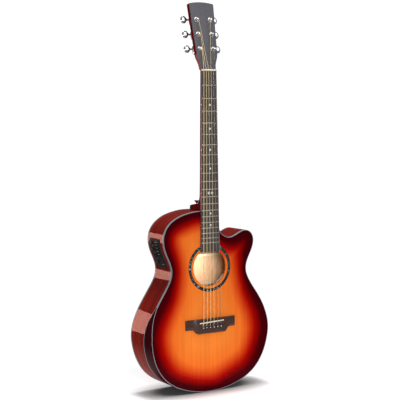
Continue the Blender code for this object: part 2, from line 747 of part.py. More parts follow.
def make_housing(name, side, v):
    """The gear case behind the headstock, with its threaded sleeve and front washer."""
    inner = POST_RADIUS + GAP
    back = -HEAD_THICKNESS - GAP
    normal = head_normal()
    width, height, thick = HOUSING_SIZE
    sleeve = [(inner, back - 2), (SLEEVE_RADIUS, back - 2), (SLEEVE_RADIUS, GAP),
              (WASHER_RADIUS, GAP), (WASHER_RADIUS - 0.5, WASHER_THICKNESS),
              (inner, WASHER_THICKNESS)]
    case = turned("tuner_housing_" + name, sleeve, head(side * POST_X, v, 0), normal, "chrome",
                  steps=12, hollow=True)
    middle = v + BUTTON_RISE / 2
    rings = []
    for h, shrink in ((back, 1.0), (back, 0.0), (back - thick + 1.5, 0.0), (back - thick, 1.5)):
        half_x, half_v = width / 2 - shrink, height / 2 - shrink
        ring = [(-half_x, -half_v + 3), (-half_x + 3, -half_v), (half_x - 3, -half_v),
                (half_x, -half_v + 3), (half_x, half_v - 3), (half_x - 3, half_v),
                (-half_x + 3, half_v), (-half_x, half_v - 3)]
        rings.append([head(side * POST_X + x, middle + rise, h) for x, rise in ring])
    join(case, lofted("tool", rings[1:], "chrome"))
    bore = [(inner, back - thick + 2.5), (inner, back + 3)]
    cut(case, turned("cutter", bore, head(side * POST_X, v, 0), normal, "steel", steps=12))
    outward = Vector((side, 0, 0))
    start = head(side * (POST_X + width / 2 - 5), v + BUTTON_RISE, -SHAFT_BEHIND_FACE)
    cut(case, turned("cutter", [(SHAFT_RADIUS + GAP, 0), (SHAFT_RADIUS + GAP, 12)], start, outward,
                     "steel", steps=12))


def make_post(name, side, v):
    back = -HEAD_THICKNESS - GAP - HOUSING_SIZE[2]
    profile = [(POST_RADIUS, back + 3), (POST_RADIUS, 3.2), (POST_RADIUS - 0.5, 4.2),
               (POST_RADIUS - 0.5, 6.2), (POST_RADIUS, 7.2), (POST_RADIUS, POST_ABOVE_FACE - 0.6),
               (POST_RADIUS - 0.8, POST_ABOVE_FACE)]
    turned("tuner_post_" + name, profile, head(side * POST_X, v, 0), head_normal(), "chrome",
           steps=10)


def make_button(name, side, v):
    """The key: its worm shaft runs into the housing, and its grip is a flattened oval."""
    start = POST_X + HOUSING_SIZE[0] / 2 - 4.5
    axis_v = v + BUTTON_RISE
    origin = head(side * BUTTON_CENTRE_X, axis_v, -SHAFT_BEHIND_FACE)
    # distance out from the middle of the headstock, half-height, half-thickness
    sections = [(start, SHAFT_RADIUS, SHAFT_RADIUS), (37.0, SHAFT_RADIUS, SHAFT_RADIUS),
                (37.6, 3.4, 3.2), (39.5, 7.0, 3.5), (43.0, 9.8, 4.0), (49.5, 9.8, 4.0),
                (53.5, 6.4, 3.4), (55.0, 2.4, 1.8)]
    rings = []
    for out, tall, thick in sections:
        angles = [2 * math.pi * k / 10 for k in range(10)]
        rings.append([head(side * out, axis_v + tall * math.sin(a),
                           -SHAFT_BEHIND_FACE + thick * math.cos(a)) for a in angles])
    lofted("tuner_button_" + name, rings, "chrome", origin=origin)


def make_tuners():
    for name, side, v in tuner_places():
        make_housing(name, side, v)
        make_post(name, side, v)
        make_button(name, side, v)


# ------------------------------------------------------------------ bridge, saddle, pins, strings

def saddle_z(x):
    middle = (SADDLE_BASS_Z + SADDLE_TREBLE_Z) / 2
    return middle + (SADDLE_TREBLE_Z - SADDLE_BASS_Z) * x / (2 * SADDLE_HALF_LENGTH)


def saddle_strip(half_length, half_thickness):
    ends = [(-half_length, saddle_z(-half_length)), (half_length, saddle_z(half_length))]
    return ([(x, z - half_thickness) for x, z in ends]
            + [(x, z + half_thickness) for x, z in reversed(ends)])


def make_bridge():
    # distance from the middle, lower edge, height, edge rounding
    stations = [(BRIDGE_HALF_LENGTH, BRIDGE_WING_LOW_Z + 1, WING_HEIGHT - 1.0, 1.0),
                (BRIDGE_HALF_LENGTH - 2, BRIDGE_WING_LOW_Z, WING_HEIGHT, 1.0),
                (60, BRIDGE_WING_LOW_Z, WING_HEIGHT, 1.0),
                (53, BRIDGE_WING_LOW_Z - 1.5, 5.6, 1.2),
                (46, BRIDGE_BELLY_Z + 2.5, BLOCK_HEIGHT - 0.8, 1.4),
                (42, BRIDGE_BELLY_Z, BLOCK_HEIGHT, 1.4)]
    both = [(-x, low, high, edge) for x, low, high, edge in stations] + stations[::-1]
    rings = []
    for x, low, high, edge in both:
        profile = [(low, GAP), (low, high - edge), (low + edge, high),
                   (BRIDGE_TOP_Z - edge, high), (BRIDGE_TOP_Z, high - edge), (BRIDGE_TOP_Z, GAP)]
        rings.append([world(x, -height, z) for z, height in profile])
    bridge = lofted("bridge", rings, "rosewood")
    slot = saddle_strip(SADDLE_HALF_LENGTH + GAP, SADDLE_THICKNESS / 2 + GAP)
    cut(bridge, plate("cutter", slot, lambda z: -20, lambda z: -SADDLE_SLOT_FLOOR, "steel"))
    for tool in pin_cutters((-15, 5), PIN_HOLE_RADIUS):
        cut(bridge, tool)


def saddle_top(x):
    return SADDLE_TOP - x * x / 2400.0 - 0.006 * x


def make_saddle():
    half = SADDLE_THICKNESS / 2
    stations = [-SADDLE_HALF_LENGTH + i * SADDLE_HALF_LENGTH / 3 for i in range(7)]
    rings = []
    for x in stations:
        z, top = saddle_z(x), saddle_top(x)
        profile = [(-half, SADDLE_SLOT_FLOOR + GAP), (-half, top - 0.8), (-0.5, top), (0.5, top),
                   (half, top - 0.8), (half, SADDLE_SLOT_FLOOR + GAP)]
        rings.append([world(x, -height, z + side) for side, height in profile])
    lofted("saddle", rings, "bone")


def make_pins():
    front = Vector((0, -1, 0))
    profile = [(2.0, -12.0), (PIN_SHAFT_RADIUS, BLOCK_HEIGHT + GAP), (3.6, BLOCK_HEIGHT + GAP),
               (3.6, BLOCK_HEIGHT + 1.1), (2.6, BLOCK_HEIGHT + 2.3), (0.9, BLOCK_HEIGHT + 2.8)]
    for number, name in enumerate(STRING_NAMES):
        origin = world(string_x(number, PIN_SPACING), 0, PIN_Z)
        turned("bridge_pin_" + name, profile, origin, front, "pin_black", steps=10)


def string_route(number):
    """From the bridge pin over the saddle and the nut, then once around the tuner's post."""
    radius = STRING_RADII[number]
    side = -1 if number < 3 else 1
    v = POST_VS[number if number < 3 else 5 - number]
    pin_x = string_x(number, PIN_SPACING)
    saddle_x = string_x(number, SADDLE_SPACING)
    nut_x = string_x(number, NUT_SPACING)
    lift = radius + GAP
    route = [world(pin_x, -BLOCK_HEIGHT - lift - 0.1, PIN_Z + 4.6 + radius),
             world(saddle_x, -saddle_top(saddle_x) - lift, saddle_z(saddle_x) - 0.6),
             world(saddle_x, -saddle_top(saddle_x) - lift, saddle_z(saddle_x) + 0.8),
             world(nut_x, NUT_TOP - lift, NUT_Z + 0.4),
             world(nut_x, NUT_TOP - lift, NUT_Z + NUT_THICKNESS)]
    wrap = POST_RADIUS + radius + GAP
    steps = 8
    for k in range(steps + 1):
        angle = math.radians(-20) + 2 * math.pi * k / steps * 0.97
        x = side * (POST_X - wrap * math.cos(angle))
        height = 7.1 - 2.6 * k / steps
        route.append(head(x, v + wrap * math.sin(angle), height))
    return route


def make_strings():
    for number, name in enumerate(STRING_NAMES):
        route = string_route(number)
        radius = STRING_RADII[number]
        rings = []
        across = Vector((1, 0, 0))
        for i, point in enumerate(route):
            ahead = route[min(i + 1, len(route) - 1)] - point
            behind = point - route[max(i - 1, 0)]
            along = (ahead.normalized() + behind.normalized()).normalized()
            across = (across - along * across.dot(along)).normalized()
            up = along.cross(across)
            angles = [2 * math.pi * k / 6 for k in range(6)]
            rings.append([point + (across * math.cos(a) + up * math.sin(a)) * radius * MM
                          for a in angles])
        lofted("string_" + name, rings, "bronze" if number < 4 else "plain_steel")


# ------------------------------------------------------------------ preamp, jack and strap button

def side_point(z, offset, depth, bass=True):
    """A point on the side at height z, and the outward direction there."""
    low, high = side_slice(z + 0.01, z - 0.01, bass)[0:2]
    point, step = low
    x, height = point + step * offset
    return world(x, depth, height), Vector((-step[0], 0, -step[1])).normalized()


def make_preamp():
    front, back = PREAMP_DEPTHS
    bezel = side_slice(PREAMP_HIGH_Z, PREAMP_LOW_Z)
    panel = side_sweep("preamp_panel", bezel, rectangle(-BEZEL_PROUD, -GAP, front, back),
                       "black_plastic")
    inner = side_slice(PREAMP_HIGH_Z - MODULE_INSET, PREAMP_LOW_Z + MODULE_INSET)
    body = rectangle(-1.2, MODULE_REACH, front + MODULE_INSET, back - MODULE_INSET)
    join(panel, side_sweep("tool", inner, body, "black_plastic"))
    for name, z in KNOB_ZS.items():
        origin, outward = side_point(z, 0, KNOB_DEPTH)
        bore = KNOB_STEM_RADIUS + GAP
        cut(panel, turned("cutter", [(bore, -2.5), (bore, 6)], origin, outward, "steel", steps=12))
        profile = [(KNOB_STEM_RADIUS, -1.8), (KNOB_STEM_RADIUS, BEZEL_PROUD + GAP),
                   (KNOB_RADIUS, BEZEL_PROUD + GAP),
                   (KNOB_RADIUS - 0.3, BEZEL_PROUD + KNOB_HEIGHT - 0.5),
                   (KNOB_RADIUS - 0.9, BEZEL_PROUD + KNOB_HEIGHT)]
        turned(name, profile, origin, outward, "black_plastic", steps=14)
    origin, outward = side_point(PUSH_Z, 0, PUSH_DEPTH)
    cut(panel, turned("cutter", [(PUSH_RADIUS + GAP, -2.5), (PUSH_RADIUS + GAP, 6)], origin,
                      outward, "steel", steps=14))
    profile = [(PUSH_RADIUS, -1.0), (PUSH_RADIUS, BEZEL_PROUD + 1.2),
               (PUSH_RADIUS - 0.4, BEZEL_PROUD + 1.6)]
    turned("tuner_push_button", profile, origin, outward, "black_plastic", steps=14)


def make_output_jack():
    """A curved plate on the treble side with a socket whose axis is level."""
    stretch = side_slice(JACK_Z + JACK_PLATE_HALF_HEIGHT, JACK_Z - JACK_PLATE_HALF_HEIGHT,
                         bass=False)
    near, far = JACK_DEPTH - JACK_PLATE_HALF_WIDTH, JACK_DEPTH + JACK_PLATE_HALF_WIDTH
    jack = side_sweep("output_jack", stretch, rectangle(-2.0, -GAP, near, far), "chrome")
    level = Vector((1, 0, 0))
    point, _ = side_point(JACK_Z, 0, JACK_DEPTH, bass=False)
    sleeve = [(JACK_SLEEVE_RADIUS, -JACK_SLEEVE_LENGTH), (JACK_SLEEVE_RADIUS, 2.8),
              (JACK_SLEEVE_RADIUS - 0.5, 3.4)]
    join(jack, turned("tool", sleeve, point, level, "chrome"))
    bore = [(JACK_BORE_RADIUS, -JACK_BORE_LENGTH), (JACK_BORE_RADIUS, 9)]
    cut(jack, turned("cutter", bore, point, level, "steel", steps=16))


def make_strap_button():
    profile = [(5.6, GAP), (5.6, 1.6), (3.6, 3.2), (3.4, 9.0), (7.2, 11.0), (7.4, 12.4),
               (6.6, 13.6)]
    turned("strap_button", profile, world(0, STRAP_DEPTH, STRAP_BASE_Z), Vector((0, 0, 1)),
           "chrome", steps=20)


def main():
    clear_scene()
    make_bindings()
    make_side_rim()
    make_linings()
    make_armrest()
    make_soundboard()
    make_back()
    make_blocks()
    make_braces()
    make_fretboard()
    make_neck()
    make_faceplate()
    make_nut()
    make_tuners()
    make_bridge()
    make_saddle()
    make_pins()
    make_strings()
    make_preamp()
    make_output_jack()
    make_strap_button()


main()
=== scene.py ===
"""The looks of a cutaway acoustic guitar: fine meshes, materials, camera and light around its frame.

Sizes are in millimetres, as in the frame's design: x to the treble side, depth behind the
soundboard's front face, z up from the tail. world() turns them into the frame's metres.
"""

import math

import bmesh
import bpy
import numpy as np
from mathutils import Matrix, Vector
from mathutils.geometry import delaunay_2d_cdt

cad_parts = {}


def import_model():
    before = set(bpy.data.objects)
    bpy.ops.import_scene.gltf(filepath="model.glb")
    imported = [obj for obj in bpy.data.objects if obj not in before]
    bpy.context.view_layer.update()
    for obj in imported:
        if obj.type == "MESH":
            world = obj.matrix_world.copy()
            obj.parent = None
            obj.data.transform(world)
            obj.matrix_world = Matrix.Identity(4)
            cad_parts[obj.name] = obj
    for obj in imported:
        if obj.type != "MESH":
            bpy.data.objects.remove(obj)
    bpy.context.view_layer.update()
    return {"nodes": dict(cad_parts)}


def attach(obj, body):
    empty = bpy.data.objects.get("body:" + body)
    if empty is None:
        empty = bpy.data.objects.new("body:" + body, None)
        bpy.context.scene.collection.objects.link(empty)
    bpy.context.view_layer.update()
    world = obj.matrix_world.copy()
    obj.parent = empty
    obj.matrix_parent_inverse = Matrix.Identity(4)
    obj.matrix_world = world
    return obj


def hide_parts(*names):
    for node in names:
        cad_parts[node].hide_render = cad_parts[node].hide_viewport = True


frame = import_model()

MM = 0.001
STRING_NAMES = ["low_e", "a", "d", "g", "b", "high_e"]

# ---- the body's outline, clockwise from the corner at the treble side of the neck
MIDDLE_DEPTH = 45.05
NECK_SIDE_X = 28.5
BODY_TOP_Z = 478.3
CUTAWAY_START_Z = 450.0
TREBLE_UPPER_KEYS = [(30.5, 432), (36, 418), (47, 409), (62, 405), (78, 409), (94, 416.5),
                     (109, 421), (124, 418.5), (135, 407), (138, 390), (130, 364), (118, 339),
                     (114, 318), (127, 283)]
LOWER_BOUT_KEYS = [(158, 237), (179, 191), (185, 156), (181, 124), (165, 80), (136, 43),
                   (94, 18), (46, 4)]
BASS_UPPER_KEYS = [(-130, 282), (-116, 312), (-115, 331), (-121, 351), (-132, 376), (-138, 404),
                   (-136, 422), (-127, 440), (-113, 454), (-94, 465), (-67, 473.5)]
OUTLINE_STEP = 1.8            # spacing of the fine outline's points

# ---- body shell
BACK_AT_TAIL = 103.0
BACK_SLOPE = 0.0445
BINDING_WIDTH = 2.2
BINDING_DEPTH = 6.0
THIN_BINDING_DEPTH = 2.8
TOP_THICKNESS = 2.8
BACK_THICKNESS = 3.0
SIDE_THICKNESS = 2.3
GAP = 0.3
PURFLING_WIDTH = 0.7          # the dark line inside the light binding
EDGE_ROUNDING = 0.8
BOARD_GRID = 5.0              # spacing of the points inside the soundboard and the back

# ---- forearm bevel: distance back along the outline, width on top, depth on the side
BEVEL_START_Z = 232.0
BEVEL_KEYS = [(0, 0.6, 6.2), (26, 3.2, 15.5), (50, 7.5, 20), (78, 10.8, 24), (108, 8.8, 29),
              (145, 5.6, 33.5), (185, 3.2, 34.5), (215, 1.7, 26), (242, 0.6, 6.2)]
BEVEL_BLEND = 14.0            # length over which the bevel's sizes are smoothed
BEVEL_STRIP = 1.6

# ---- sunburst: how far from the edge the orange begins, near each (x, z)
BURST_REACH = [(-185, 156, 78), (-165, 80, 74), (-158, 237, 78), (185, 156, 84), (165, 80, 90),
               (158, 237, 76), (0, 0, 54), (-94, 18, 60), (94, 18, 84), (-115, 325, 40),
               (114, 318, 38), (-138, 404, 54), (-90, 465, 60), (138, 395, 110), (94, 416, 90),
               (47, 409, 50), (28, 450, 46), (0, 478, 50)]

# ---- soundhole and rosette
HOLE_Z = 329.4
HOLE_RADIUS = 49.4
ROSETTE_INNER = 57.6
ROSETTE_OUTER = 62.6
ROSETTE_LINE = 1.5            # width of the dark line on each side of the shell

# ---- neck, fretboard and headstock
SCALE_LENGTH = 650.0
NUT_Z = 840.0
FRET_COUNT = 20
BOARD_THICKNESS = 6.1
FRET_HEIGHT = 1.1
FRET_HALF_WIDTH = 1.104
BOARD_CAMBER_RADIUS = 406.0
NUT_HALF_WIDTH = 21.75
BOARD_END_HALF_WIDTH = 28.0
BOARD_LENGTH = 463.0
NUT_THICKNESS = 5.2
NUT_TOP = -7.6
INLAY_FRETS = [3, 5, 7, 9, 15, 17]
INLAY_RADIUS = 2.9
DIAMOND_HALF_WIDTH = 4.4
DIAMOND_HALF_HEIGHT = 4.2
DIAMOND_X = 5.0
# z, depth behind the fretboard, roundness of the back, taper towards the back
NECK_SECTIONS = [(478.6, 81.4, 0.40, 0.36), (487, 81, 0.42, 0.36), (489.5, 76, 0.5, 0.33),
                 (491.5, 65, 0.6, 0.26), (494, 50, 0.7, 0.18), (497.5, 36, 0.8, 0.10),
                 (503, 26.5, 0.85, 0.02), (512, 21, 0.9, 0.0), (530, 18.2, 0.9, 0.0),
                 (560, 17, 0.9, 0.0), (630, 16.5, 0.9, 0.0), (700, 16, 0.9, 0.0),
                 (770, 15.5, 0.9, 0.0), (832, 15, 0.9, 0.0), (845.2, 15.2, 0.9, 0.0)]
HEAD_BASE_Z = NUT_Z + NUT_THICKNESS + 2 * GAP
HEAD_FACE_DEPTH = -3.0
HEAD_TILT = math.radians(12)
HEAD_THICKNESS = 15.0
FACEPLATE_THICKNESS = 1.5
HEAD_LENGTH = 177.0
HEAD_TOP_HALF_WIDTH = 37.0
HEAD_TOP_CROWN = 4.0
# distance above the nut, half-width
HEAD_SHOULDER = [(0.4, 21.9), (8, 22.6), (18, 25.0), (29, 29.3), (36, 31.0), (43, 31.6)]

# ---- tuning machines
POST_X = 20.5
POST_VS = [52.0, 91.0, 130.0]
POST_RADIUS = 3.0
POST_ABOVE_FACE = 9.5
WASHER_RADIUS = 6.3
WASHER_THICKNESS = 1.8
BUTTON_RISE = 4.7
SHAFT_BEHIND_FACE = 21.5
SHAFT_RADIUS = 2.0
HOUSING_SIZE = (17.0, 23.0, 11.0)

# along the shaft, half-height and half-thickness of the key's grip
KEY_SECTIONS = [(37.2, 3.2, 3.0), (38.4, 4.6, 3.3), (40.2, 7.2, 3.6), (43.0, 9.5, 3.95),
                (46.5, 10.0, 4.0), (50.0, 9.2, 3.9), (52.8, 6.6, 3.5), (54.4, 3.4, 2.6),
                (55.0, 0.9, 0.8)]

# ---- bridge, saddle, pins and strings
BRIDGE_TOP_Z = 195.0
BRIDGE_WING_LOW_Z = 168.5
BRIDGE_BELLY_Z = 157.0
BRIDGE_HALF_LENGTH = 75.5
WING_HEIGHT = 4.4
BLOCK_HEIGHT = 9.5
SADDLE_HALF_LENGTH = 37.0
SADDLE_THICKNESS = 3.0
SADDLE_BASS_Z = 185.0
SADDLE_TREBLE_Z = 188.0
SADDLE_TOP = 11.7
SADDLE_SLOT_FLOOR = 3.6
PIN_Z = 173.0
PIN_SPACING = 11.0
STRING_RADII = [0.65, 0.55, 0.45, 0.40, 0.40, 0.40]
STRING_SHOW = 1.15            # the visible windings stand a little proud of the plain cylinders
NUT_SPACING = 7.3
SADDLE_SPACING = 10.6

# ---- preamp, strap button and output jack
PREAMP_HIGH_Z = 410.0
PREAMP_LOW_Z = 333.0
PREAMP_DEPTHS = (19.5, 71.0)
PREAMP_LEDGE = 4.8            # how far the panel laps over its opening in the side
BEZEL_PROUD = 2.5
DISPLAY_ZS = (362.0, 402.0)
DISPLAY_DEPTHS = (25.0, 46.0)
DISPLAY_BAR_ZS = (370.0, 378.0, 386.0, 394.0)
DISPLAY_BAR_DEPTHS = (30.5, 40.5)
PANEL_BAR_Z = 342.6
PANEL_BAR_DEPTHS = (27.0, 39.0)
KNOB_TICK_OFFSET = 7.4        # the ticks above and below each knob
KNOB_DEPTH = 58.0
KNOB_ZS = {"volume_knob": 399.0, "treble_knob": 382.0, "middle_knob": 365.0, "bass_knob": 348.0}
KNOB_RADIUS = 4.6
KNOB_HEIGHT = 4.0
PUSH_Z = 352.0
PUSH_DEPTH = 33.0
PUSH_RADIUS = 3.0
STRAP_DEPTH = 63.0
STRAP_BASE_Z = 488.0
JACK_Z = 115.0
JACK_DEPTH = 50.0
JACK_BORE_RADIUS = 3.4
JACK_SLEEVE_RADIUS = 6.2
JACK_PLATE_HALF_HEIGHT = 15.9
JACK_PLATE_HALF_WIDTH = 12.6
JACK_SCREW_OFFSET = 11.2

# ---- camera, in metres
CAMERA_PLACE = (-1.567935, -2.591134, 0.736915)
CAMERA_RIGHT = (0.85531873, -0.51804592, -0.00763561)
CAMERA_UP = (0.04638849, 0.06189453, 0.9970041)
CAMERA_VIEW = (0.5160213, 0.85311048, -0.07697092)
CAMERA_LENS = 103.58

# ---- floor and light, in metres and watts
FLOOR_FADE = (0.28, 0.48)     # the floor fades out between these distances
FLOOR_GLOW = 0.36
# the contact shadow is painted into the floor's colour and glow, over this distance
SHADOW_REACH = 0.08           # how far from the guitar its contact shadow darkens the floor
LIGHT_TARGET = (0, 0, 0.45)       # where the large lights point
KEY_POWER = 20
FILL_POWER = 51
SIDE_POWER = 27
INSIDE_POWER = 0.024
SUN_STRENGTH = 1.4


# ---- places

def world(x, depth, z):
    return Vector((x * MM, (depth - MIDDLE_DEPTH) * MM, z * MM))


def head(x, v, h):
    """A point on the headstock: v up its face from the nut, h in front of the face."""
    depth = HEAD_FACE_DEPTH + v * math.sin(HEAD_TILT) - h * math.cos(HEAD_TILT)
    return world(x, depth, HEAD_BASE_Z + v * math.cos(HEAD_TILT) + h * math.sin(HEAD_TILT))


HEAD_NORMAL = (head(0, 0, 1) - head(0, 0, 0)).normalized()


def back_depth(z):
    return BACK_AT_TAIL - BACK_SLOPE * z


def smooth_curve(keys, step=None, per_span=8, start=None, end=None):
    """Points on a smooth curve through the keys, spaced by step or by a count for each span."""
    keys = np.array(keys, dtype=float)
    spans = np.linalg.norm(np.diff(keys, axis=0), axis=1)
    count = len(keys)
    system = np.zeros((count, count))
    wanted = np.zeros(keys.shape)
    system[0, 0] = system[-1, -1] = 1.0
    wanted[0] = (keys[1] - keys[0]) / spans[0] if start is None else start
    wanted[-1] = (keys[-1] - keys[-2]) / spans[-1] if end is None else end
    for i in range(1, count - 1):
        before, after = spans[i - 1], spans[i]
        system[i, i - 1:i + 2] = (after, 2 * (before + after), before)
        wanted[i] = 3 * (after * (keys[i] - keys[i - 1]) / before
                         + before * (keys[i + 1] - keys[i]) / after)
    slopes = np.linalg.solve(system, wanted)
    points = []
    for i in range(count - 1):
        steps = max(1, round(spans[i] / step)) if step else per_span
        for t in np.arange(steps) / steps:
            points.append((2 * t**3 - 3 * t**2 + 1) * keys[i] + (3 * t**2 - 2 * t**3) * keys[i + 1]
                          + spans[i] * ((t**3 - 2 * t**2 + t) * slopes[i]
                                        + (t**3 - t**2) * slopes[i + 1]))
    points.append(keys[-1])
    return np.array(points)


def body_outline():
    lower = LOWER_BOUT_KEYS + [(0, 0)] + [(-x, z) for x, z in reversed(LOWER_BOUT_KEYS)]
    keys = ([(NECK_SIDE_X, CUTAWAY_START_Z)] + TREBLE_UPPER_KEYS + lower + BASS_UPPER_KEYS
            + [(-NECK_SIDE_X, BODY_TOP_Z)])
    curve = smooth_curve(keys, step=OUTLINE_STEP, start=(0, -1), end=(1, 0))
    return np.vstack([[(NECK_SIDE_X, BODY_TOP_Z)], curve])


def inward_vectors(outline):
    """For each point, the step that moves its two edges inward by one millimetre."""
    ahead = np.roll(outline, -1, axis=0) - outline
    ahead /= np.linalg.norm(ahead, axis=1)[:, None]
    after = np.stack([ahead[:, 1], -ahead[:, 0]], axis=1)
    before = np.roll(after, 1, axis=0)
    return (before + after) / (1 + np.sum(before * after, axis=1))[:, None]


OUTLINE = body_outline()
INWARD = inward_vectors(OUTLINE)
ALONG = np.concatenate([[0], np.cumsum(np.linalg.norm(np.diff(OUTLINE, axis=0), axis=1))])


def bevel_sizes():
    """The forearm bevel's width on top and depth on the side at each outline point."""
    rising = (OUTLINE[:, 0] < 0) & (OUTLINE[:, 1] < 400)
    travelled = np.interp(BEVEL_START_Z, OUTLINE[rising, 1], ALONG[rising]) - ALONG
    keys = np.array(BEVEL_KEYS)
    inside = (travelled >= 0) & (travelled <= keys[-1, 0])
    width = np.where(inside, np.interp(travelled, keys[:, 0], keys[:, 1]), 0.0)
    depth = np.where(inside, np.interp(travelled, keys[:, 0], keys[:, 2]), BINDING_DEPTH)
    window = np.hanning(round(BEVEL_BLEND / OUTLINE_STEP) | 1)
    window /= window.sum()
    return (np.convolve(width, window, mode="same"),
            np.convolve(depth - BINDING_DEPTH, window, mode="same") + BINDING_DEPTH)


BEVEL_WIDTH, BEVEL_DEPTH = bevel_sizes()
IN_BEVEL = BEVEL_WIDTH > 0.02


def inset(i, distance):
    """Outline point i moved inward."""
    return OUTLINE[i] + INWARD[i] * distance


def inside_polygon(points, polygon):
    """Which of the points lie inside the polygon."""
    result = np.zeros(len(points), dtype=bool)
    x, y = points[:, 0], points[:, 1]
    for (x0, y0), (x1, y1) in zip(polygon, np.roll(polygon, -1, axis=0)):
        crosses = (y0 > y) != (y1 > y)
        if y1 != y0:
            result ^= crosses & (x < (x1 - x0) * (y - y0) / (y1 - y0) + x0)
    return result


def edge_distance(points, polygon):
    """The distance from each point to the polygon's edge."""
    best = np.full(len(points), np.inf)
    for start, end in zip(polygon, np.roll(polygon, -1, axis=0)):
        edge = end - start
        t = np.clip((points - start) @ edge / max(edge @ edge, 1e-9), 0, 1)
        best = np.minimum(best, np.linalg.norm(points - start - t[:, None] * edge, axis=1))
    return best

# ---- materials

SOCKETS = {"rough": "Roughness", "metal": "Metallic", "coat": "Coat Weight",
           "coat_rough": "Coat Roughness", "specular": "Specular IOR Level"}


def srgb(red, green, blue):
    """A screen colour, 0 to 255, as the shader's linear colour."""
    def linear(value):
        value /= 255
        return value / 12.92 if value <= 0.04045 else ((value + 0.055) / 1.055) ** 2.4
    return (linear(red), linear(green), linear(blue), 1.0)


class Finish:
    """A material with one Principled shader, whose nodes are added by short calls."""

    def __init__(self, name, **values):
        self.material = bpy.data.materials.new(name)
        self.material.use_nodes = True
        self.tree = self.material.node_tree
        self.inputs = self.tree.nodes["Principled BSDF"].inputs
        for key, value in values.items():
            self.inputs[SOCKETS[key]].default_value = value

    def set(self, socket, value):
        if isinstance(value, bpy.types.NodeSocket):
            self.tree.links.new(value, socket)
        else:
            socket.default_value = value

    def node(self, kind, inputs, output=0, **settings):
        """One output of a new node."""
        node = self.tree.nodes.new("ShaderNode" + kind)
        for key, value in settings.items():
            setattr(node, key, value)
        for key, value in inputs.items():
            self.set(node.inputs[key], value)
        return node.outputs[output]

    def place(self):
        return self.node("TexCoord", {}, "Object")

    def attribute(self, name, output="Fac"):
        return self.node("Attribute", {}, output, attribute_name=name)

    def stretch(self, vector, scale):
        return self.node("VectorMath", {0: vector, 1: scale}, operation="MULTIPLY")

    def noise(self, vector, scale, detail=3.0, roughness=0.55, distortion=0.0):
        return self.node("TexNoise", {"Vector": vector, "Scale": scale, "Detail": detail,
                                      "Roughness": roughness, "Distortion": distortion})

    def ramp(self, factor, stops, interpolation="LINEAR"):
        """A colour for each position; the stops are (position, screen colour)."""
        output = self.node("ValToRGB", {"Fac": factor})
        output.node.color_ramp.interpolation = interpolation
        elements = output.node.color_ramp.elements
        while len(elements) < len(stops):
            elements.new(0.5)
        for element, (position, _) in zip(elements, stops):
            element.position = position
        for element, (_, screen) in zip(elements, stops):
            element.color = srgb(*screen)
        return output

    def levels(self, factor, low, high, to_low=0.0, to_high=1.0):
        return self.node("MapRange", {"Value": factor, "From Min": low, "From Max": high,
                                      "To Min": to_low, "To Max": to_high})

    def mix(self, factor, first, second, blend="MIX"):
        return self.node("Mix", {0: factor, 6: first, 7: second}, 2, data_type="RGBA", blend_type=blend)

    def colour(self, value):
        self.set(self.inputs["Base Color"], value)

    def bump(self, height, strength, distance=0.0002):
        self.set(self.inputs["Normal"], self.node(
            "Bump", {"Height": height, "Strength": strength, "Distance": distance}))


def burst_finish():
    """Clear gloss over spruce with a sunburst that follows the "burst" attribute."""
    finish = Finish("sunburst_spruce", rough=0.5, coat=0.05, coat_rough=0.05, specular=0.0)
    place = finish.place()
    wander = finish.levels(finish.noise(place, 9.0), 0.3, 0.7, -0.03, 0.03)
    burst = finish.node("Math", {0: finish.attribute("burst"), 1: wander}, operation="ADD")
    burst = finish.node("Math", {0: burst, 1: 0.5}, operation="MULTIPLY")
    stain = finish.ramp(burst, [(0.00, (56, 0, 5)), (0.12, (74, 0, 6)), (0.185, (124, 0, 3)),
                                (0.26, (163, 8, 2)), (0.33, (194, 42, 12)), (0.41, (218, 78, 24)),
                                (0.53, (240, 114, 39)), (0.85, (244, 132, 50))])
    lines = finish.noise(finish.stretch(place, (520, 60, 5)), 1.0, 5.0, 0.6)
    streaks = finish.noise(finish.stretch(place, (95, 20, 2.2)), 1.0, 4.0)
    grain = finish.mix(0.5, finish.levels(lines, 0.25, 0.75, 0.80, 1.10),
                       finish.levels(streaks, 0.3, 0.7, 0.84, 1.12))
    finish.colour(finish.mix(1.0, stain, grain, "MULTIPLY"))
    finish.bump(lines, 0.06)
    return finish.material


def stained_wood(name, dark, middle, light, grain_scale, attribute=None, edge=None, **values):
    """Stained wood; the grain runs along the scale's smallest axis."""
    finish = Finish(name, **values)
    place = finish.attribute(attribute, "Vector") if attribute else finish.place()
    long_grain = finish.stretch(place, grain_scale)
    figure = finish.noise(long_grain, 1.0, 6.0, 0.62, 0.8)
    pores = finish.noise(finish.stretch(long_grain, (4.0, 4.0, 4.0)), 1.0, 3.0, 0.7)
    result = finish.ramp(figure, [(0.28, dark), (0.47, middle), (0.56, middle), (0.74, light)])
    result = finish.mix(1.0, result, finish.levels(pores, 0.30, 0.62, 0.62, 1.08), "MULTIPLY")
    if edge:
        fade = finish.levels(finish.attribute("burst"), 0.1, 0.9)
        result = finish.mix(fade, srgb(*edge), result)
    finish.colour(result)
    finish.bump(pores, 0.08)
    return finish.material


def shell_finish():
    """Dark shell with teal, green and white flecks."""
    finish = Finish("rosette_shell", rough=0.22, coat=0.6, coat_rough=0.04)
    place = finish.attribute("grain", "Vector")
    cells = finish.node("TexVoronoi", {"Vector": place, "Scale": 300.0}, "Color")
    tint = finish.ramp(finish.node("SeparateColor", {0: cells}),
                       [(0.0, (12, 18, 20)), (0.40, (18, 40, 42)), (0.56, (30, 84, 80)),
                        (0.68, (16, 42, 50)), (0.84, (84, 140, 124)), (0.95, (180, 204, 196))],
                       "CONSTANT")
    cloud = finish.levels(finish.noise(place, 900.0), 0.35, 0.75, 0.0, 0.6)
    finish.colour(finish.mix(cloud, tint, srgb(30, 62, 62)))
    return finish.material


